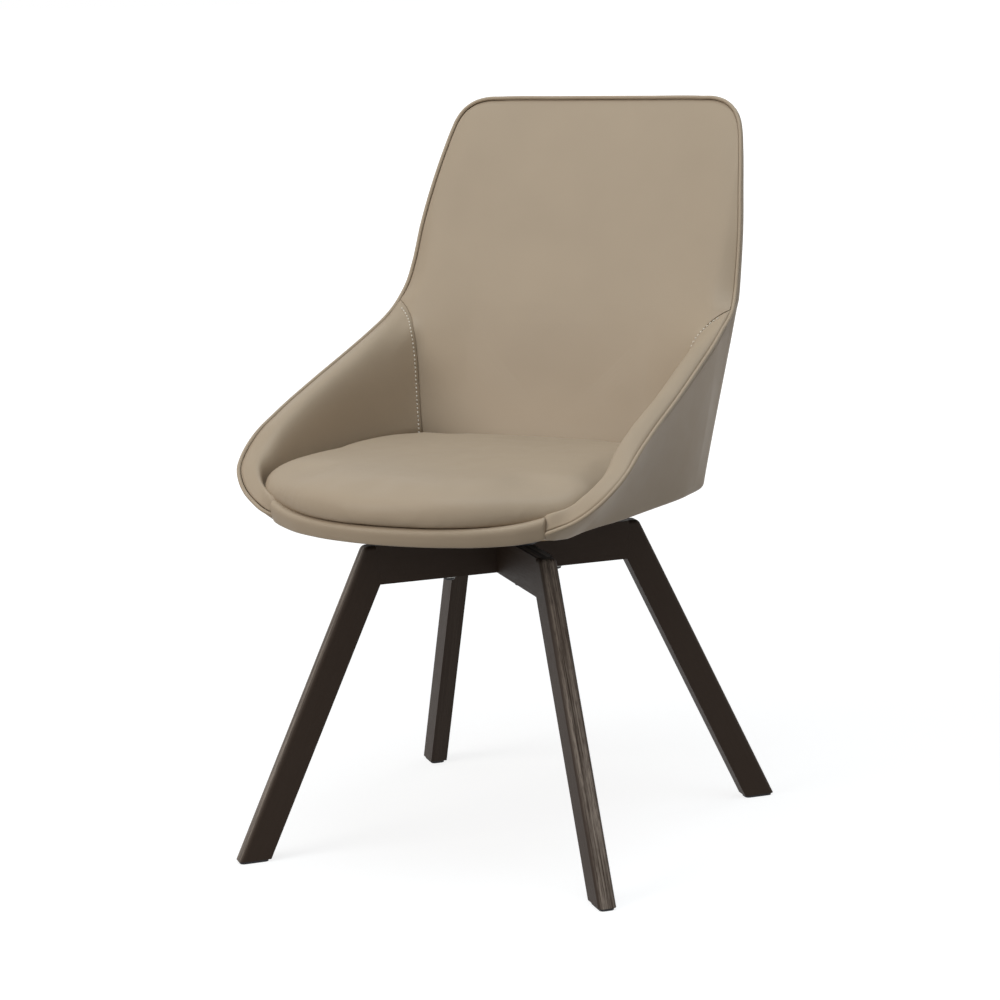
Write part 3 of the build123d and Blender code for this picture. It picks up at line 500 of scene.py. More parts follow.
def bare_wood(colours, name, width, length):
    """Birch plywood and beech dowels, sawn and left bare: pale, with a dry streaky grain."""
    material, tree, coordinates = new_material(name)
    scaled = vector_maths(tree, "MULTIPLY", coordinates["Object"], (per_mm(length), per_mm(width), per_mm(width)))
    grain = noise(tree, scaled, 1.0, 3.0)
    surface(tree, {"Base Color": mixed(tree, grain, four(colours.plywood, 0.82), four(colours.plywood, 1.1)),
                   "Roughness": 0.75})
    return material


def speckled(name, tone, cell, roughness, depth, metallic=0.0):
    """A plain finish with an even fine texture: powder coat, zinc, moulded nylon or spun-bonded cloth."""
    material, tree, coordinates = new_material(name)
    texture = noise(tree, coordinates["Object"], per_mm(cell), 2.0)
    surface(tree, {"Base Color": mixed(tree, texture, four(tone, 0.85), four(tone, 1.12)),
                   "Roughness": ranged(tree, texture, 0.0, 1.0, roughness - 0.08, roughness + 0.08),
                   "Metallic": metallic, "Normal": bump(tree, texture, 0.4, depth, soft_edges(tree, 0.3, 4))})
    return material


def leather_for(scene):
    return bpy.data.materials.get("coated_leather_embossed") or coated_leather(scene.chair_colours)


def paint(node, material):
    """Gives a CAD node a material."""
    mesh = frame["nodes"][node].data
    mesh.materials.clear()
    mesh.materials.append(material)


# ---- Shapes of the leather ---------------------------------------------------------------------------
UP = np.array([0.0, 0.0, 1.0])
# Points and rows along each line: arm sections, cover, seams, rims, the back's bottom, cord, band and cushion.
SECTION_COUNT, FOOT_ROWS = 24, 24
ARM_SEAM_POINTS, BACK_SEAM_POINTS, RIM_POINTS, BOTTOM_POINTS = 60, 44, 96, 24
CORD_POINTS, BAND_POINTS, BAND_COLUMNS, CUSHION_POINTS = 420, 30, 150, 90
# Even sections of an arm, how far before the seam they end, and the closer ones' distances from it.
EVEN_SECTIONS = 104
EVEN_STOP = 16
SEAM_STEPS = np.array([12, 9, 6.5, 4.8, 3.4, 2.2, 1.2, 0.5, 0])
PIPING_SECTIONS = slice(0, 100, 4)
# Beside the cord: the inner face's gap and height, its hidden edge's overlap and its lip's drop.
FACE_GAP, FACE_STAND, EDGE_OVERLAP, LIP_DROP = 0.9, 0.4, 0.6, 0.8
# How far from the seam an arm's sections bend onto it, and the two rows folded in behind it.
SEAM_BEND = 110
SEAM_FOLDS = ((-0.6, 2.2, 0.0), (-0.4, 6.0, 0.0))
# The hem's turns, and how far it is flat, goes in and goes up under the board.
HEM_RADIUS = 6.0
HEM_TURNS = np.radians([90, 66, 44, 22, 0])
HEM_FLAT, HEM_TUCK, HEM_RISE = 3, 10.0, 1.4
BOARD_UNDERSIDE = 406.0
# Which way a side cover stands out, and the centre that its front end, up to a Y, stands out from.
COVER_OUTWARDS = np.array([1.0, 0.12, 0.0])
FRONT_CENTRE = np.array([150.0, -110.0, 0.0])
FRONT_END_Y = -100
# The side's bulge is full this far from the seam and on a cover this high.
BULGE_LENGTH, BULGE_HEIGHT = 60, 100
# The outer back's groove: distance behind the corner at the foot, how much less at the kink, reach and direction.
GROOVE_PLACE, GROOVE_DRIFT, GROOVE_REACH, GROOVE_INTO = 44, 14, 4.5, (0.85, 0.5, 0.0)
# Its rows' heights above the kink, and their points: close together near the side, then even to the middle.
BACK_HEIGHTS = np.linspace(616, 834, 34)
NEAR = np.linspace(0, 0.75, 76)
FAR = np.linspace(0, 1, 22)[1:]
# How far beyond the cord the outer and the inner back begin.
COVER_GAP, BACK_GAP = 0.4, 0.7
# Points of the inner back's outline over which the seam's roll widens to the rim's.
ROLL_START, ROLL_POINTS = 30, 24
# The core that the inner back's rings close towards, and their distances from the outline.
CORE_LOW, CORE_HIGH, CORE_HALF = 470.0, 800.0, 120.0
RING_DISTANCES = (0, 0.8, 1.8, 3.2, 5, 7.5, 10.5, 14, 18, 22.5, 27.5, 33, 40, 48, *np.linspace(58, 110, 6))
# The band's foot, the rise of its ends, its section's stretch and that of its ends, its waves, and how its ends close.
BAND_FOOT, BAND_LIFT, BAND_STRETCH, BAND_GAIN = 403, 6.5, 0.89, 0.2
WAVE_HEIGHT, WAVE_TURNS = 0.35, 41
CLOSE_SHARE, CLOSE_DEPTH = 0.985, 2.5
# The cushion's rings keep the outline's shape up to an inset, and from there shrink to a centre over a span.
CUSHION_CENTRE = np.array([0.0, -80.0])
KEPT_INSET, SHRINK_SPAN = 30.0, 190.0
TOP_INSETS = (0.3, 1, 2, 3.5, 5.5, 8, 11, 15, 20, 26, 33, 42, 52, 66, 82, 100, 120, 150, 180)
SWELL_FRAMES = 20
# A topstitch's heights and widths in thread radii, its sides, how much further in it is at the kink, and the distance
# that gives the leather's slope below it.
STITCH_RISE = np.array([-0.6, 0.5, 0.8, 0.8, 0.5, -0.6])
STITCH_WIDTH = np.array([0.45, 0.95, 1.0, 1.0, 0.95, 0.45])
STITCH_SIDES, KINK_INSET, SLOPE_STEP = 6, 0.7, 4


def cord_radius(sizes):
    return sizes.piping / 2 / MM


def arm_keys():
    """The arm's sections, smoothly spaced along the rim and closer at the seam: rim, crease, foot and shape."""
    rows = np.array([[*rim, *crease, *foot, *shape] for rim, crease, foot, *shape in ARM_SECTIONS], float)
    knots = lengths(rows[:, :3])
    even = np.linspace(0, knots[-1] - EVEN_STOP, EVEN_SECTIONS)
    return blend_keys(knots, rows, np.concatenate([even, knots[-1] - SEAM_STEPS]))


def to_seam(keys):
    """How far each section of the arm is from the seam."""
    along = lengths(keys[:, :3])
    return along[-1] - along


def arm_inner_section(row, sizes):
    """From the tuck beside the piping, over the padded roll, down to the crease and under the cushion."""
    rim, crease, foot = row[0:3], row[3:6], row[6:9]
    leave, roll, arrive, fall = math.radians(row[9]), row[10], math.radians(row[11]), row[12]
    inwards = unit((crease - rim) * (1, 1, 0))

    def direction(angle):
        return inwards * math.cos(angle) + UP * math.sin(angle)

    away, across = direction(leave), direction(leave + math.pi / 2)
    start = rim + away * (cord_radius(sizes) + FACE_GAP) + across * FACE_STAND
    hidden = rim + away * (cord_radius(sizes) - EDGE_OVERLAP) - across * (sizes.tuck / MM)
    face = bezier(start, start + direction(leave + 0.25) * roll, crease - direction(arrive) * fall, crease,
                  SECTION_COUNT)
    lip = hidden * 0.35 + start * 0.65 - across * LIP_DROP
    down = foot - crease
    return np.concatenate([[hidden, lip], face, [crease + down * 0.1, crease + down * 0.25]])


def ease(share):
    share = np.clip(share, 0, 1)
    return share * share * (3 - 2 * share)


def arm_inner(sizes):
    """The arm's padded face, whose last sections bend onto the seam and dip into it."""
    keys = arm_keys()
    grid = np.stack([arm_inner_section(row, sizes) for row in keys])
    last = grid[-1, 2:-2]
    seam = smooth_line(INNER_SEAM[:0:-1], ARM_SEAM_POINTS)
    along, shares = lengths(seam), lengths(last)
    shift = along_line(shares / shares[-1] * along[-1], along, seam) - last
    shift = np.concatenate([shift[:1], shift[:1], shift, shift[-1:], shift[-1:]])
    distance = to_seam(keys)
    grid = grid + ease(1 - distance / SEAM_BEND)[:, None, None] * shift
    normal = turned_in(unit(np.cross(np.gradient(grid, axis=1), np.gradient(grid, axis=0))), grid)
    dip = sizes.seam_dip / MM * np.clip(1 - distance / (sizes.seam_roll / MM), 0, 1) ** 2
    grid = grid - normal * dip[:, None, None]
    behind = np.ones((grid.shape[1], 1))
    behind[:3] = 0
    fold = grid[-1] + behind * SEAM_FOLDS[0]
    return np.concatenate([grid, [fold, fold + behind * SEAM_FOLDS[1]]])


def hem(foot_height):
    """The outer covers' lower edge, rolled round the board's rim: how far in and how far up from the foot."""
    radius = float(np.clip(BOARD_UNDERSIDE + 1 - foot_height, 1.0, HEM_RADIUS))
    insets = np.concatenate([[HEM_TUCK, radius + HEM_FLAT], radius * (1 - np.cos(HEM_TURNS)), np.zeros(FOOT_ROWS)])
    heights = np.concatenate([[BOARD_UNDERSIDE - HEM_RISE - foot_height, 0.0], radius * (1 - np.sin(HEM_TURNS))])
    return insets, heights


def arm_outer(sizes):
    """The outer side cover, from its hem up to the piping, one column for each section."""
    keys = arm_keys()
    columns = []
    for row, distance in zip(keys, to_seam(keys)):
        rim, foot = row[0:3], row[6:9]
        outwards = COVER_OUTWARDS if rim[1] > FRONT_END_Y else unit((rim - FRONT_CENTRE) * (1, 1, 0))
        top = rim - UP * (cord_radius(sizes) + 0.2)
        insets, heights = hem(foot[2])
        low = heights / (top[2] - foot[2])
        shares = np.concatenate([low, low[-1] + (1 - low[-1]) * np.linspace(0, 1, FOOT_ROWS + 1)[1:]])[:, None]
        size = min(1.0, distance / BULGE_LENGTH, (rim[2] - foot[2]) / BULGE_HEIGHT)
        bulge = sizes.side_bulge / MM * np.sin(math.pi * np.clip(shares, 0, 1)) * size
        columns.append(foot + (top - foot) * shares + (bulge - insets[:, None]) * outwards)
    return np.stack(columns)


def rim_at(height):
    """The piping's centre on the back's side at a height below the rounded corner."""
    rim = np.array(BACK_RIM[:-3])
    return blend_keys(rim[:, 2], rim, np.array([height]))[0]


def back_outer(sizes, arm):
    """Rows of the back's outer face, from its hem to the piping along the top, right end to left end.

    Each row is a half of a rounded rectangle, and starts in line with the side cover. Below the kink a sewn groove
    runs up behind the corner.
    """
    side = arm[-1]
    leans = (side[:, 0] - arm[-4, :, 0]) / (side[:, 1] - arm[-4, :, 1])
    gap = cord_radius(sizes) + COVER_GAP
    rows = []

    def half_row(end, height, groove_at, inset=0.0, lean=0.0):
        middle, square = from_table(BACK_REAR, np.array([height]))[0]
        return shaped_row(end, middle - inset, height, square, groove_at, lean)

    def shaped_row(end, middle_y, middle_z, square, groove_at, lean=0.0):
        first = math.asin(NEAR[-1] ** (square / 2))
        turn = np.concatenate([np.arcsin(NEAR ** (square / 2)), first + (math.pi / 2 - first) * FAR])
        behind = (middle_y - end[1]) * np.sin(turn) ** (2 / square)
        right = np.stack([(end[0] + lean * behind) * np.cos(turn) ** (2 / square), end[1] + behind,
                          end[2] + (middle_z - end[2]) * np.sin(turn) ** 2], axis=1)
        if groove_at:
            away = np.abs(behind - groove_at)
            depth = sizes.seam_dip / MM * np.clip(1 - away / GROOVE_REACH, 0, 1) ** 2
            right -= depth[:, None] * GROOVE_INTO
        return both_halves(right)

    for inset, end, lean in zip(hem(side[1, 2])[0], side, leans):
        share = (end[2] - side[1, 2]) / (side[-1, 2] - side[1, 2])
        rows.append(half_row(end, end[2], GROOVE_PLACE - GROOVE_DRIFT * share, inset, lean))
    for height in BACK_HEIGHTS:
        rows.append(half_row(rim_at(height) + (0.6, gap, 0), height, None))
    corner = smooth_line(BACK_RIM[8:12], 5)[1:]
    for (height, middle), rim in zip(TOP_ROLL, corner):
        rows.append(shaped_row(rim + (0.2, gap, 0.4), middle, height, TOP_SQUARE, None))
    return np.stack(rows)


def back_face(x, z):
    """How far back the padded inner face is, before it rolls down to the piping."""
    middle, hollow = from_table(BACK_FACE, z).T
    share = np.clip(np.abs(x) / HOLLOW_X, 0, 1.05)
    return middle - hollow * share ** HOLLOW_POWER


def back_outline(sizes):
    """The inner back's right edge: up the seam, beside the piping and along the top, with the width of its roll."""
    seam = smooth_line(INNER_SEAM, BACK_SEAM_POINTS)
    rim = smooth_line(BACK_RIM, RIM_POINTS)
    tangent = np.gradient(rim[:, [0, 2]], axis=0)
    inwards = unit(np.stack([-tangent[:, 1], np.zeros(len(rim)), tangent[:, 0]], axis=1))
    edge = (rim + inwards * (cord_radius(sizes) + BACK_GAP))[2:]
    wider = ease((np.arange(len(seam) + len(edge)) - ROLL_START) / ROLL_POINTS)
    return np.concatenate([seam, edge]), (sizes.seam_roll + (sizes.edge_roll - sizes.seam_roll) * wider) / MM


def back_inner(sizes):
    """The inner back's outline, the core that its rings close towards, and the width of its roll at each point."""
    right, rolls = back_outline(sizes)
    across = np.linspace(0, right[0, 0], BOTTOM_POINTS)[:-1]
    low = np.full(len(across), right[0, 2])
    bottom = np.stack([across, back_face(across, low), low], axis=1)
    half = np.concatenate([bottom[1:], right])
    half_rolls = np.concatenate([np.full(len(bottom) - 1, rolls[0]), rolls])
    outline = np.concatenate([bottom[:1], both_halves(half)])
    widths = np.concatenate([rolls[:1], half_rolls, half_rolls[-2::-1]])
    core = np.stack([np.clip(outline[:, 0], -CORE_HALF, CORE_HALF), outline[:, 1],
                     np.clip(outline[:, 2], CORE_LOW, CORE_HIGH)], axis=1)
    return outline, core, widths


def back_inner_mesh(sizes):
    """Points and faces of the inner back, in rings from its outline inwards that leave its middle open."""
    outline, core, widths = back_inner(sizes)
    apart = np.linalg.norm((core - outline)[:, [0, 2]], axis=1)
    drop = outline[:, 1] - back_face(outline[:, 0], outline[:, 2])
    dip = np.where(widths < 1.5 * sizes.seam_roll / MM, sizes.seam_dip / MM, 0.0)
    outwards = unit((outline - core) * np.array([1, 0, 1]) + 1e-9)
    rings = [outline + (0.0, sizes.tuck / MM, 0.0) + outwards * 0.5]
    for distance in RING_DISTANCES:
        point = outline + (core - outline) * np.clip(distance / apart, 0, 1)[:, None]
        reach = np.clip(1 - distance / widths, 0, 1)
        point[:, 1] = back_face(point[:, 0], point[:, 2]) + drop * reach ** 2 + dip * reach ** 6
        rings.append(point)
    return np.concatenate(rings), grid_faces(len(rings), len(outline), closed=True)


# ---- Operators ---------------------------------------------------------------------------------------
class CHAIR_OT_arm_leather(bpy.types.Operator):
    """Make the padded inner faces of both arms"""
    bl_idname = "chair.arm_leather"
    bl_label = "Arm leather"

    def execute(self, context):
        right = arm_inner(context.scene.chair_upholstery)
        for side, points in (("right", right), ("left", mirrored(right))):
            piece = leather_sheet(context, "arm_leather_" + side, points, grid_faces(*points.shape[:2]))
            dress(piece, "taupe_leather", "arm_pad_" + side, "shell_arm_" + side)
        return {"FINISHED"}


class CHAIR_OT_back_leather(bpy.types.Operator):
    """Make the padded inner face of the back"""
    bl_idname = "chair.back_leather"
    bl_label = "Back leather"

    def execute(self, context):
        points, faces = back_inner_mesh(context.scene.chair_upholstery)
        piece = leather_sheet(context, "back_leather", points, faces, open_middle=True)
        dress(piece, "taupe_leather", "back_pad", "shell_back")
        return {"FINISHED"}


def fill_middle(piece):
    """Closes the inner back's middle with a grid of its own."""
    work = bmesh.new()
    work.from_mesh(piece.data)
    middle = Vector(place(BACK_MIDDLE))
    nearest = min((edge for edge in work.edges if edge.is_boundary),
                  key=lambda edge: (edge.verts[0].co - middle).length)
    chain = {nearest}
    grow = [nearest]
    while grow:
        for vert in grow.pop().verts:
            for other in vert.link_edges:
                if other.is_boundary and other not in chain:
                    chain.add(other)
                    grow.append(other)
    made = bmesh.ops.contextual_create(work, geom=list(chain))
    cuts = bmesh.ops.triangulate(work, faces=made["faces"])
    bmesh.ops.subdivide_edges(work, edges=list({e for f in cuts["faces"] for e in f.edges if not e.is_boundary}),
                              cuts=1)
    for face in work.faces:
        face.smooth = True
    work.to_mesh(piece.data)
    work.free()


class CHAIR_OT_outer_covers(bpy.types.Operator):
    """Make the outer covers of the sides and the back"""
    bl_idname = "chair.outer_covers"
    bl_label = "Outer covers"

    def execute(self, context):
        sizes = context.scene.chair_upholstery
        arm = arm_outer(sizes)
        sheets = [arm, mirrored(arm), back_outer(sizes, arm)]
        faces, start = [], 0
        for sheet in sheets:
            faces += grid_faces(*sheet.shape[:2], start=start)
            start += sheet[..., 0].size
        points = np.concatenate([sheet.reshape(-1, 3) for sheet in sheets])
        piece = leather_sheet(context, "outer_leather", points, faces, away=True)
        dress(piece, "taupe_leather", "outer_cover_right", "outer_cover_left", "outer_cover_back")
        return {"FINISHED"}


class CHAIR_OT_piping(bpy.types.Operator):
    """Make the piping round the rim"""
    bl_idname = "chair.piping"
    bl_label = "Piping"

    def execute(self, context):
        arm = arm_keys()[PIPING_SECTIONS, :3]
        line = both_halves(smooth_line(np.concatenate([arm, np.array(BACK_RIM)]), CORD_POINTS))
        piece = tube("piping_cord", line, cord_radius(context.scene.chair_upholstery), leather_for(context.scene))
        dress(piece, "taupe_leather", "piping")
        return {"FINISHED"}


class CHAIR_OT_front_band(bpy.types.Operator):
    """Make the padded band under the cushion's front"""
    bl_idname = "chair.front_band"
    bl_label = "Front band"

    def execute(self, context):
        half_chord, end_y = BAND_END
        sagitta = end_y - BAND_MIDDLE_Y
        radius = (half_chord ** 2 + sagitta ** 2) / (2 * sagitta)
        centre = np.array([0.0, BAND_MIDDLE_Y + radius, 0.0])
        reach = math.asin(half_chord / radius)
        profile = smooth_line(BAND_SECTION, BAND_POINTS)
        columns = []
        for turn in np.linspace(-reach, reach, BAND_COLUMNS):
            share = abs(turn) / reach
            lift = BAND_LIFT * share ** 6
            stretch = BAND_STRETCH + BAND_GAIN * share ** 3
            closing = CLOSE_DEPTH * np.clip((share - CLOSE_SHARE) / (1 - CLOSE_SHARE), 0, 1)
            wave = WAVE_HEIGHT * math.sin(turn * WAVE_TURNS) * share
            outwards = np.array([math.sin(turn), -math.cos(turn), 0.0])
            columns.append([centre + outwards * (radius + out + wave - closing)
                            + UP * (BAND_FOOT + lift + (z - BAND_FOOT) * stretch) for out, z in profile])
        points = np.array(columns)
        piece = leather_sheet(context, "front_band_leather", points, grid_faces(*points.shape[:2]), away=True)
        dress(piece, "taupe_leather", "front_band")
        return {"FINISHED"}


def cushion_shape(sizes):
    """The cushion as rings: flat underside, drawn-in lower edge, widest line and crowned top."""
    edge = smooth_line(CUSHION_EDGE, CUSHION_POINTS)
    outline = np.concatenate([edge, edge[-2:0:-1] * (-1, 1)])
    tangent = unit(np.roll(outline, -1, axis=0) - np.roll(outline, 1, axis=0))
    inwards = np.stack([-tangent[:, 1], tangent[:, 0]], axis=1)
    waist, depth = sizes.waist / MM, sizes.depth / MM
    rings = []

    def ring(inset, height):
        inset = inset + sizes.slack / MM
        moved = outline + inwards * min(inset, KEPT_INSET)
        moved = moved + (CUSHION_CENTRE - moved) * (max(0.0, inset - KEPT_INSET) / SHRINK_SPAN)
        rings.append(np.column_stack([moved, np.full(len(moved), height)]))

    for inset in (150, 60):
        ring(inset, waist - depth)
    for turn in np.linspace(90, 0, 6):
        angle = math.radians(turn)
        ring(sizes.undercut / MM * (1 - math.cos(angle)), waist - depth * math.sin(angle))
    wide = sizes.shoulder / MM + sizes.front_shoulder / MM * np.clip(inwards[:, 1], 0, 1) ** 2
    for inset in TOP_INSETS:
        share = np.minimum(1.0, inset / wide)
        ring(inset, waist)
        rise = from_table(CUSHION_RISE, rings[-1][:, 1])[:, 0]
        rings[-1][:, 2] += rise * (1 - (1 - share) ** sizes.fullness) ** (1 / sizes.fullness)
    return np.stack(rings)


class CHAIR_OT_cushion(bpy.types.Operator):
    """Make the seat cushion and swell its cover with air pressure"""
    bl_idname = "chair.cushion"
    bl_label = "Seat cushion"

    def execute(self, context):
        sizes = context.scene.chair_cushion
        rings = cushion_shape(sizes)
        piece = make_object("seat_cushion_leather", rings.reshape(-1, 3), capped_faces(*rings.shape[:2]),
                            leather_for(context.scene))
        swell(context, piece, sizes)
        taut = piece.modifiers.new("taut", "SMOOTH")
        taut.factor = 0.5
        taut.iterations = 18
        piece.modifiers.new("smooth", "SUBSURF").render_levels = 1
        dress(piece, "taupe_leather", "seat_cushion", "seat_pad")
        return {"FINISHED"}


def swell(context, piece, sizes):
    """Remeshes the cushion evenly, lets the air swell its cover with the underside held, and caps the movement."""
    remesh = piece.modifiers.new("even", "REMESH")
    remesh.mode = "VOXEL"
    remesh.voxel_size = sizes.voxel
    remesh.use_smooth_shade = True
    graph = context.evaluated_depsgraph_get()
    even = bpy.data.meshes.new_from_object(piece.evaluated_get(graph))
    piece.modifiers.clear()
    piece.data = even
    held = piece.vertex_groups.new(name="held")
    underside = sizes.waist - 0.6 * sizes.depth
    held.add([vert.index for vert in even.vertices if vert.co.z < underside], 1.0, "REPLACE")
    cloth = piece.modifiers.new("air", "CLOTH")
    air = cloth.settings
    air.vertex_group_mass = "held"
    air.use_pressure = True
    air.uniform_pressure_force = sizes.pressure
    air.effector_weights.gravity = 0.0
    air.tension_stiffness = air.compression_stiffness = 30
    air.bending_stiffness = 20
    air.quality = 5
    rest = np.array([vert.co for vert in even.vertices])
    for step_number in range(1, SWELL_FRAMES + 1):
        context.scene.frame_set(step_number)
    graph = context.evaluated_depsgraph_get()
    moved = np.array([vert.co for vert in piece.evaluated_get(graph).data.vertices])
    step = moved - rest
    size = np.linalg.norm(step, axis=1, keepdims=True)
    capped = rest + step * np.minimum(1.0, sizes.cap / np.maximum(size, 1e-9))
    piece.modifiers.clear()
    even.vertices.foreach_set("co", capped.ravel())
    even.update()
    context.scene.frame_set(1)


class CHAIR_OT_stitching(bpy.types.Operator):
    """Make the topstitching beside the inner seams"""
    bl_idname = "chair.stitching"
    bl_label = "Topstitching"

    def execute(self, context):
        sizes = context.scene.chair_upholstery
        thread = twisted_thread(context.scene.chair_colours)
        grid = arm_inner(sizes)[:-2, 2:-2]
        pairs = []
        for column in range(grid.shape[1]):
            inset = sizes.stitch_inset / MM * (1 + KINK_INSET * (1 - column / grid.shape[1]) ** 3)
            from_seam = grid[::-1, column]
            pairs.append(along_line((inset, inset + SLOPE_STEP), lengths(from_seam), from_seam))
        line, before = np.array(pairs)[2:].transpose(1, 0, 2)
        normal = turned_in(unit(np.cross(line - before, unit(np.gradient(line, axis=0)))), line)
        total = lengths(line)
        radius, half, count = sizes.thread / 2 / MM, sizes.stitch / 2 / MM, len(STITCH_RISE)
        points, faces = [], []
        for middle in np.arange(half + 2, total[-1] - half, sizes.stitch_pitch / MM):
            ends = np.linspace(middle - half, middle + half, count)
            lift = along_line(ends, total, normal)
            path = along_line(ends, total, line) + lift * (STITCH_RISE[:, None] * radius)
            side = unit(np.cross(unit(path[-1] - path[0]), lift[3]))
            faces += capped_faces(count, STITCH_SIDES, start=len(points) * count * STITCH_SIDES)
            points.append(np.concatenate([ring_round(point, width, side, lift[3], STITCH_SIDES)
                                          for point, width in zip(path, STITCH_WIDTH * radius)]))
        right = np.concatenate(points)
        for side, shape in (("right", right), ("left", mirrored(right))):
            piece = make_object("topstitching_" + side, shape, faces, thread)
            dress(piece, "taupe_leather")
        return {"FINISHED"}


class CHAIR_OT_wood(bpy.types.Operator):
    """Stain the legs and the rails"""
    bl_idname = "chair.wood"
    bl_label = "Wooden base"

    def execute(self, context):
        colours = context.scene.chair_colours
        up = Vector((0, 0, 1))
        for name, signs in CORNERS.items():
            level = Vector((*signs, 0)).normalized()
            along = level * math.sin(LEG_LEAN) - up * math.cos(LEG_LEAN)
            outward = level * math.cos(LEG_LEAN) + up * math.sin(LEG_LEAN)
            paint("leg_" + name, stained_wood(colours, "leg_" + name, along, outward))
        for name, along in (("lower", (1, -1, 0)), ("upper", (1, 1, 0))):
            paint("cross_rail_" + name, stained_wood(colours, "rail_" + name, along, up))
        paint("leg_dowels", bare_wood(colours, "beech_dowel_turned", 1.5, 30))
        paint("seat_board", bare_wood(colours, "birch_plywood_sawn", 1.5, 120))
        return {"FINISHED"}


class CHAIR_OT_hardware(bpy.types.Operator):
    """Finish the swivel, the screws, the glides and the dust cover"""
    bl_idname = "chair.hardware"
    bl_label = "Swivel and hardware"

    def execute(self, context):
        colours = context.scene.chair_colours
        for finish, metallic, nodes in (
                (("steel_powder_coated", colours.black, 1.2, 0.5, 0.12), 0.0,
                 ("swivel_lower_plate", "swivel_upper_plate", "swivel_housing", "base_bolts")),
                (("steel_zinc_plated", colours.steel, 1.6, 0.34, 0.03), 1.0,
                 ("base_washers", "base_nuts", "swivel_pivot", "pivot_washer", "pivot_nut", "bearing_balls",
                  "seat_screws", "t_nuts", "shell_screws", "dust_cover_staples", "glide_nails")),
                (("nylon_moulded", colours.nylon, 2.5, 0.5, 0.04), 0.0, ("ball_cage",)),
                (("polypropylene_moulded", colours.black, 1.5, 0.6, 0.06), 0.0,
                 ["glide_" + corner for corner in CORNERS]),
                (("dust_cloth_spun_bonded", colours.black, 1.1, 0.9, 0.25), 0.0, ("dust_cover",))):
            material = speckled(*finish, metallic)
            for node in nodes:
                paint(node, material)
        return {"FINISHED"}


class CHAIR_OT_stage(bpy.types.Operator):
    """Set up the floor, the light and the camera"""
    bl_idname = "chair.stage"
    bl_label = "Studio"

    def execute(self, context):
        scene = context.scene
        studio = scene.chair_studio
        scene.view_settings.view_transform = "Standard"
        lay_floor(scene)
        light_room(scene, studio)
        for name, power, tint, size, spot, aim in (
                ("key_lamp", studio.key, WHITE[:3], 2.2, (-1.8, -2.8, 2.2), 0.5),
                ("top_lamp", studio.top, studio.sky, 2.4, (0.4, -0.5, 3.4), 0.4),
                ("fill_lamp", studio.fill, WHITE[:3], 2.0, (1.6, -2.9, 1.3), 0.45),
                ("rim_lamp", studio.rim, WHITE[:3], 1.8, (0.9, 2.6, 2.6), 0.6)):
            lamp = bpy.data.lights.new(name, "AREA")
            lamp.color, lamp.shape, lamp.size, lamp.energy = tint, "DISK", size, power
            holder = put_in_scene(name, lamp)
            holder.location = spot
            holder.rotation_euler = (Vector((0, 0, aim)) - Vector(spot)).to_track_quat("-Z", "Y").to_euler()
        scene.camera = set_camera(studio)
        return {"FINISHED"}


def seen_directly(tree):
    """1 for what the camera sees by itself, in a mirror or through glass, and 0 for light on the object."""
    rays = add(tree, "LightPath").outputs
    mirror = maths(tree, "MAXIMUM", rays["Is Camera Ray"], rays["Is Glossy Ray"])
    return maths(tree, "MAXIMUM", mirror, rays["Is Transmission Ray"])


def lay_floor(scene):
    material, tree, coordinates = new_material("studio_floor_painted")
    where, tone = coordinates["Object"], scene.chair_colours.floor
    base = mixed(tree, noise(tree, where, per_mm(700), 1.0), four(tone, 0.985), four(tone))
    seen = seen_directly(tree)
    # The floor throws back less light than it seems to, as a wide white sweep under dimmed lamps does.
    matt = add(tree, "BsdfDiffuse", {"Color": mixed(tree, seen, four(tone, 0.42), base)})
    glow = add(tree, "Emission", {"Color": WHITE, "Strength": 1.2})
    far = ranged(tree, vector_maths(tree, "LENGTH", where, output="Value"), 0.9, 2.6, 0.68,
                 interpolation_type="SMOOTHSTEP")
    both = add(tree, "MixShader", {0: maths(tree, "MULTIPLY", seen, far), 1: matt.outputs["BSDF"],
                                   2: glow.outputs["Emission"]})
    add(tree, "OutputMaterial", {"Surface": both.outputs["Shader"]})
    mesh = bpy.data.meshes.new("studio_floor")
    corners = ((-1, -1), (1, -1), (1, 1), (-1, 1))
    mesh.from_pydata([(x * FLOOR_REACH, y * FLOOR_REACH, 0) for x, y in corners], [], [(0, 1, 2, 3)])
    mesh.materials.append(material)
    floor = put_in_scene("studio_floor", mesh)


def light_room(scene, studio):
    world = bpy.data.worlds.new("studio_room")
    world.use_nodes = True
    tree = world.node_tree
    tree.nodes.clear()
    level = add(tree, "Mix", {"Factor": seen_directly(tree), "A": studio.ambient, "B": 1.0}, data_type="FLOAT")
    background = add(tree, "Background", {"Color": WHITE, "Strength": level.outputs["Result"]})
    add(tree, "OutputWorld", {"Surface": background.outputs["Background"]})
    scene.world = world


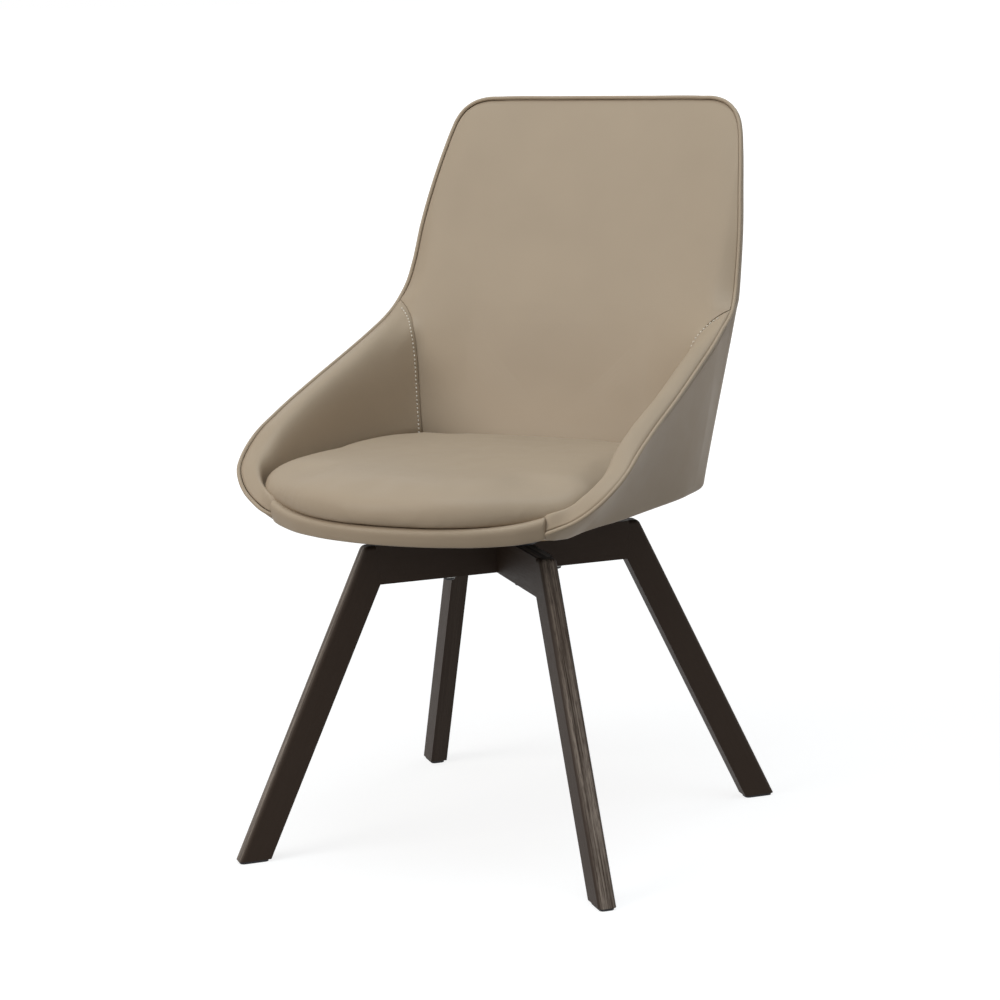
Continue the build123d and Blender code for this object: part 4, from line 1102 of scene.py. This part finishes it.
def set_camera(studio):
    camera = bpy.data.cameras.new("camera")
    camera.lens = studio.lens
    camera.sensor_width = 36.0
    camera.clip_end = 100.0
    holder = put_in_scene("camera", camera)
    away = Vector((math.sin(studio.azimuth) * math.cos(studio.elevation),
                   -math.cos(studio.azimuth) * math.cos(studio.elevation), math.sin(studio.elevation)))
    side = Vector((math.cos(studio.azimuth), math.sin(studio.azimuth), 0.0))
    up = away.cross(side)
    right = side * math.cos(studio.roll) + up * math.sin(studio.roll)
    top = up * math.cos(studio.roll) - side * math.sin(studio.roll)
    turn = Matrix((right, top, away)).transposed().to_4x4()
    holder.matrix_world = Matrix.Translation(Vector(studio.target) + away * studio.distance) @ turn
    return holder


class CHAIR_PT_panel(bpy.types.Panel):
    """Lists the chair's pieces in the sidebar"""
    bl_idname = "CHAIR_PT_panel"
    bl_label = "Swivel dining chair"
    bl_space_type = "VIEW_3D"
    bl_region_type = "UI"
    bl_category = "Chair"

    def draw(self, context):
        for operator in OPERATORS:
            self.layout.operator(operator.bl_idname)
        for group in GROUPS:
            box = self.layout.box()
            settings = getattr(context.scene, group)
            for name in type(settings).__annotations__:
                box.prop(settings, name)


OPERATORS = (CHAIR_OT_arm_leather, CHAIR_OT_back_leather, CHAIR_OT_outer_covers, CHAIR_OT_piping,
             CHAIR_OT_front_band, CHAIR_OT_cushion, CHAIR_OT_stitching, CHAIR_OT_wood, CHAIR_OT_hardware,
             CHAIR_OT_stage)
GROUPS = {"chair_upholstery": CHAIR_PG_upholstery, "chair_cushion": CHAIR_PG_cushion,
          "chair_colours": CHAIR_PG_colours, "chair_studio": CHAIR_PG_studio}


def register():
    for group in (*GROUPS.values(), *OPERATORS, CHAIR_PT_panel):
        bpy.utils.register_class(group)
    for name, group in GROUPS.items():
        setattr(bpy.types.Scene, name, bpy.props.PointerProperty(type=group))


def unregister():
    for name in GROUPS:
        delattr(bpy.types.Scene, name)
    for group in (CHAIR_PT_panel, *OPERATORS[::-1], *list(GROUPS.values())[::-1]):
        bpy.utils.unregister_class(group)


def main():
    register()
    for operator in OPERATORS:
        group, name = operator.bl_idname.split(".")
        getattr(getattr(bpy.ops, group), name)()


if __name__ == "__main__":
    main()
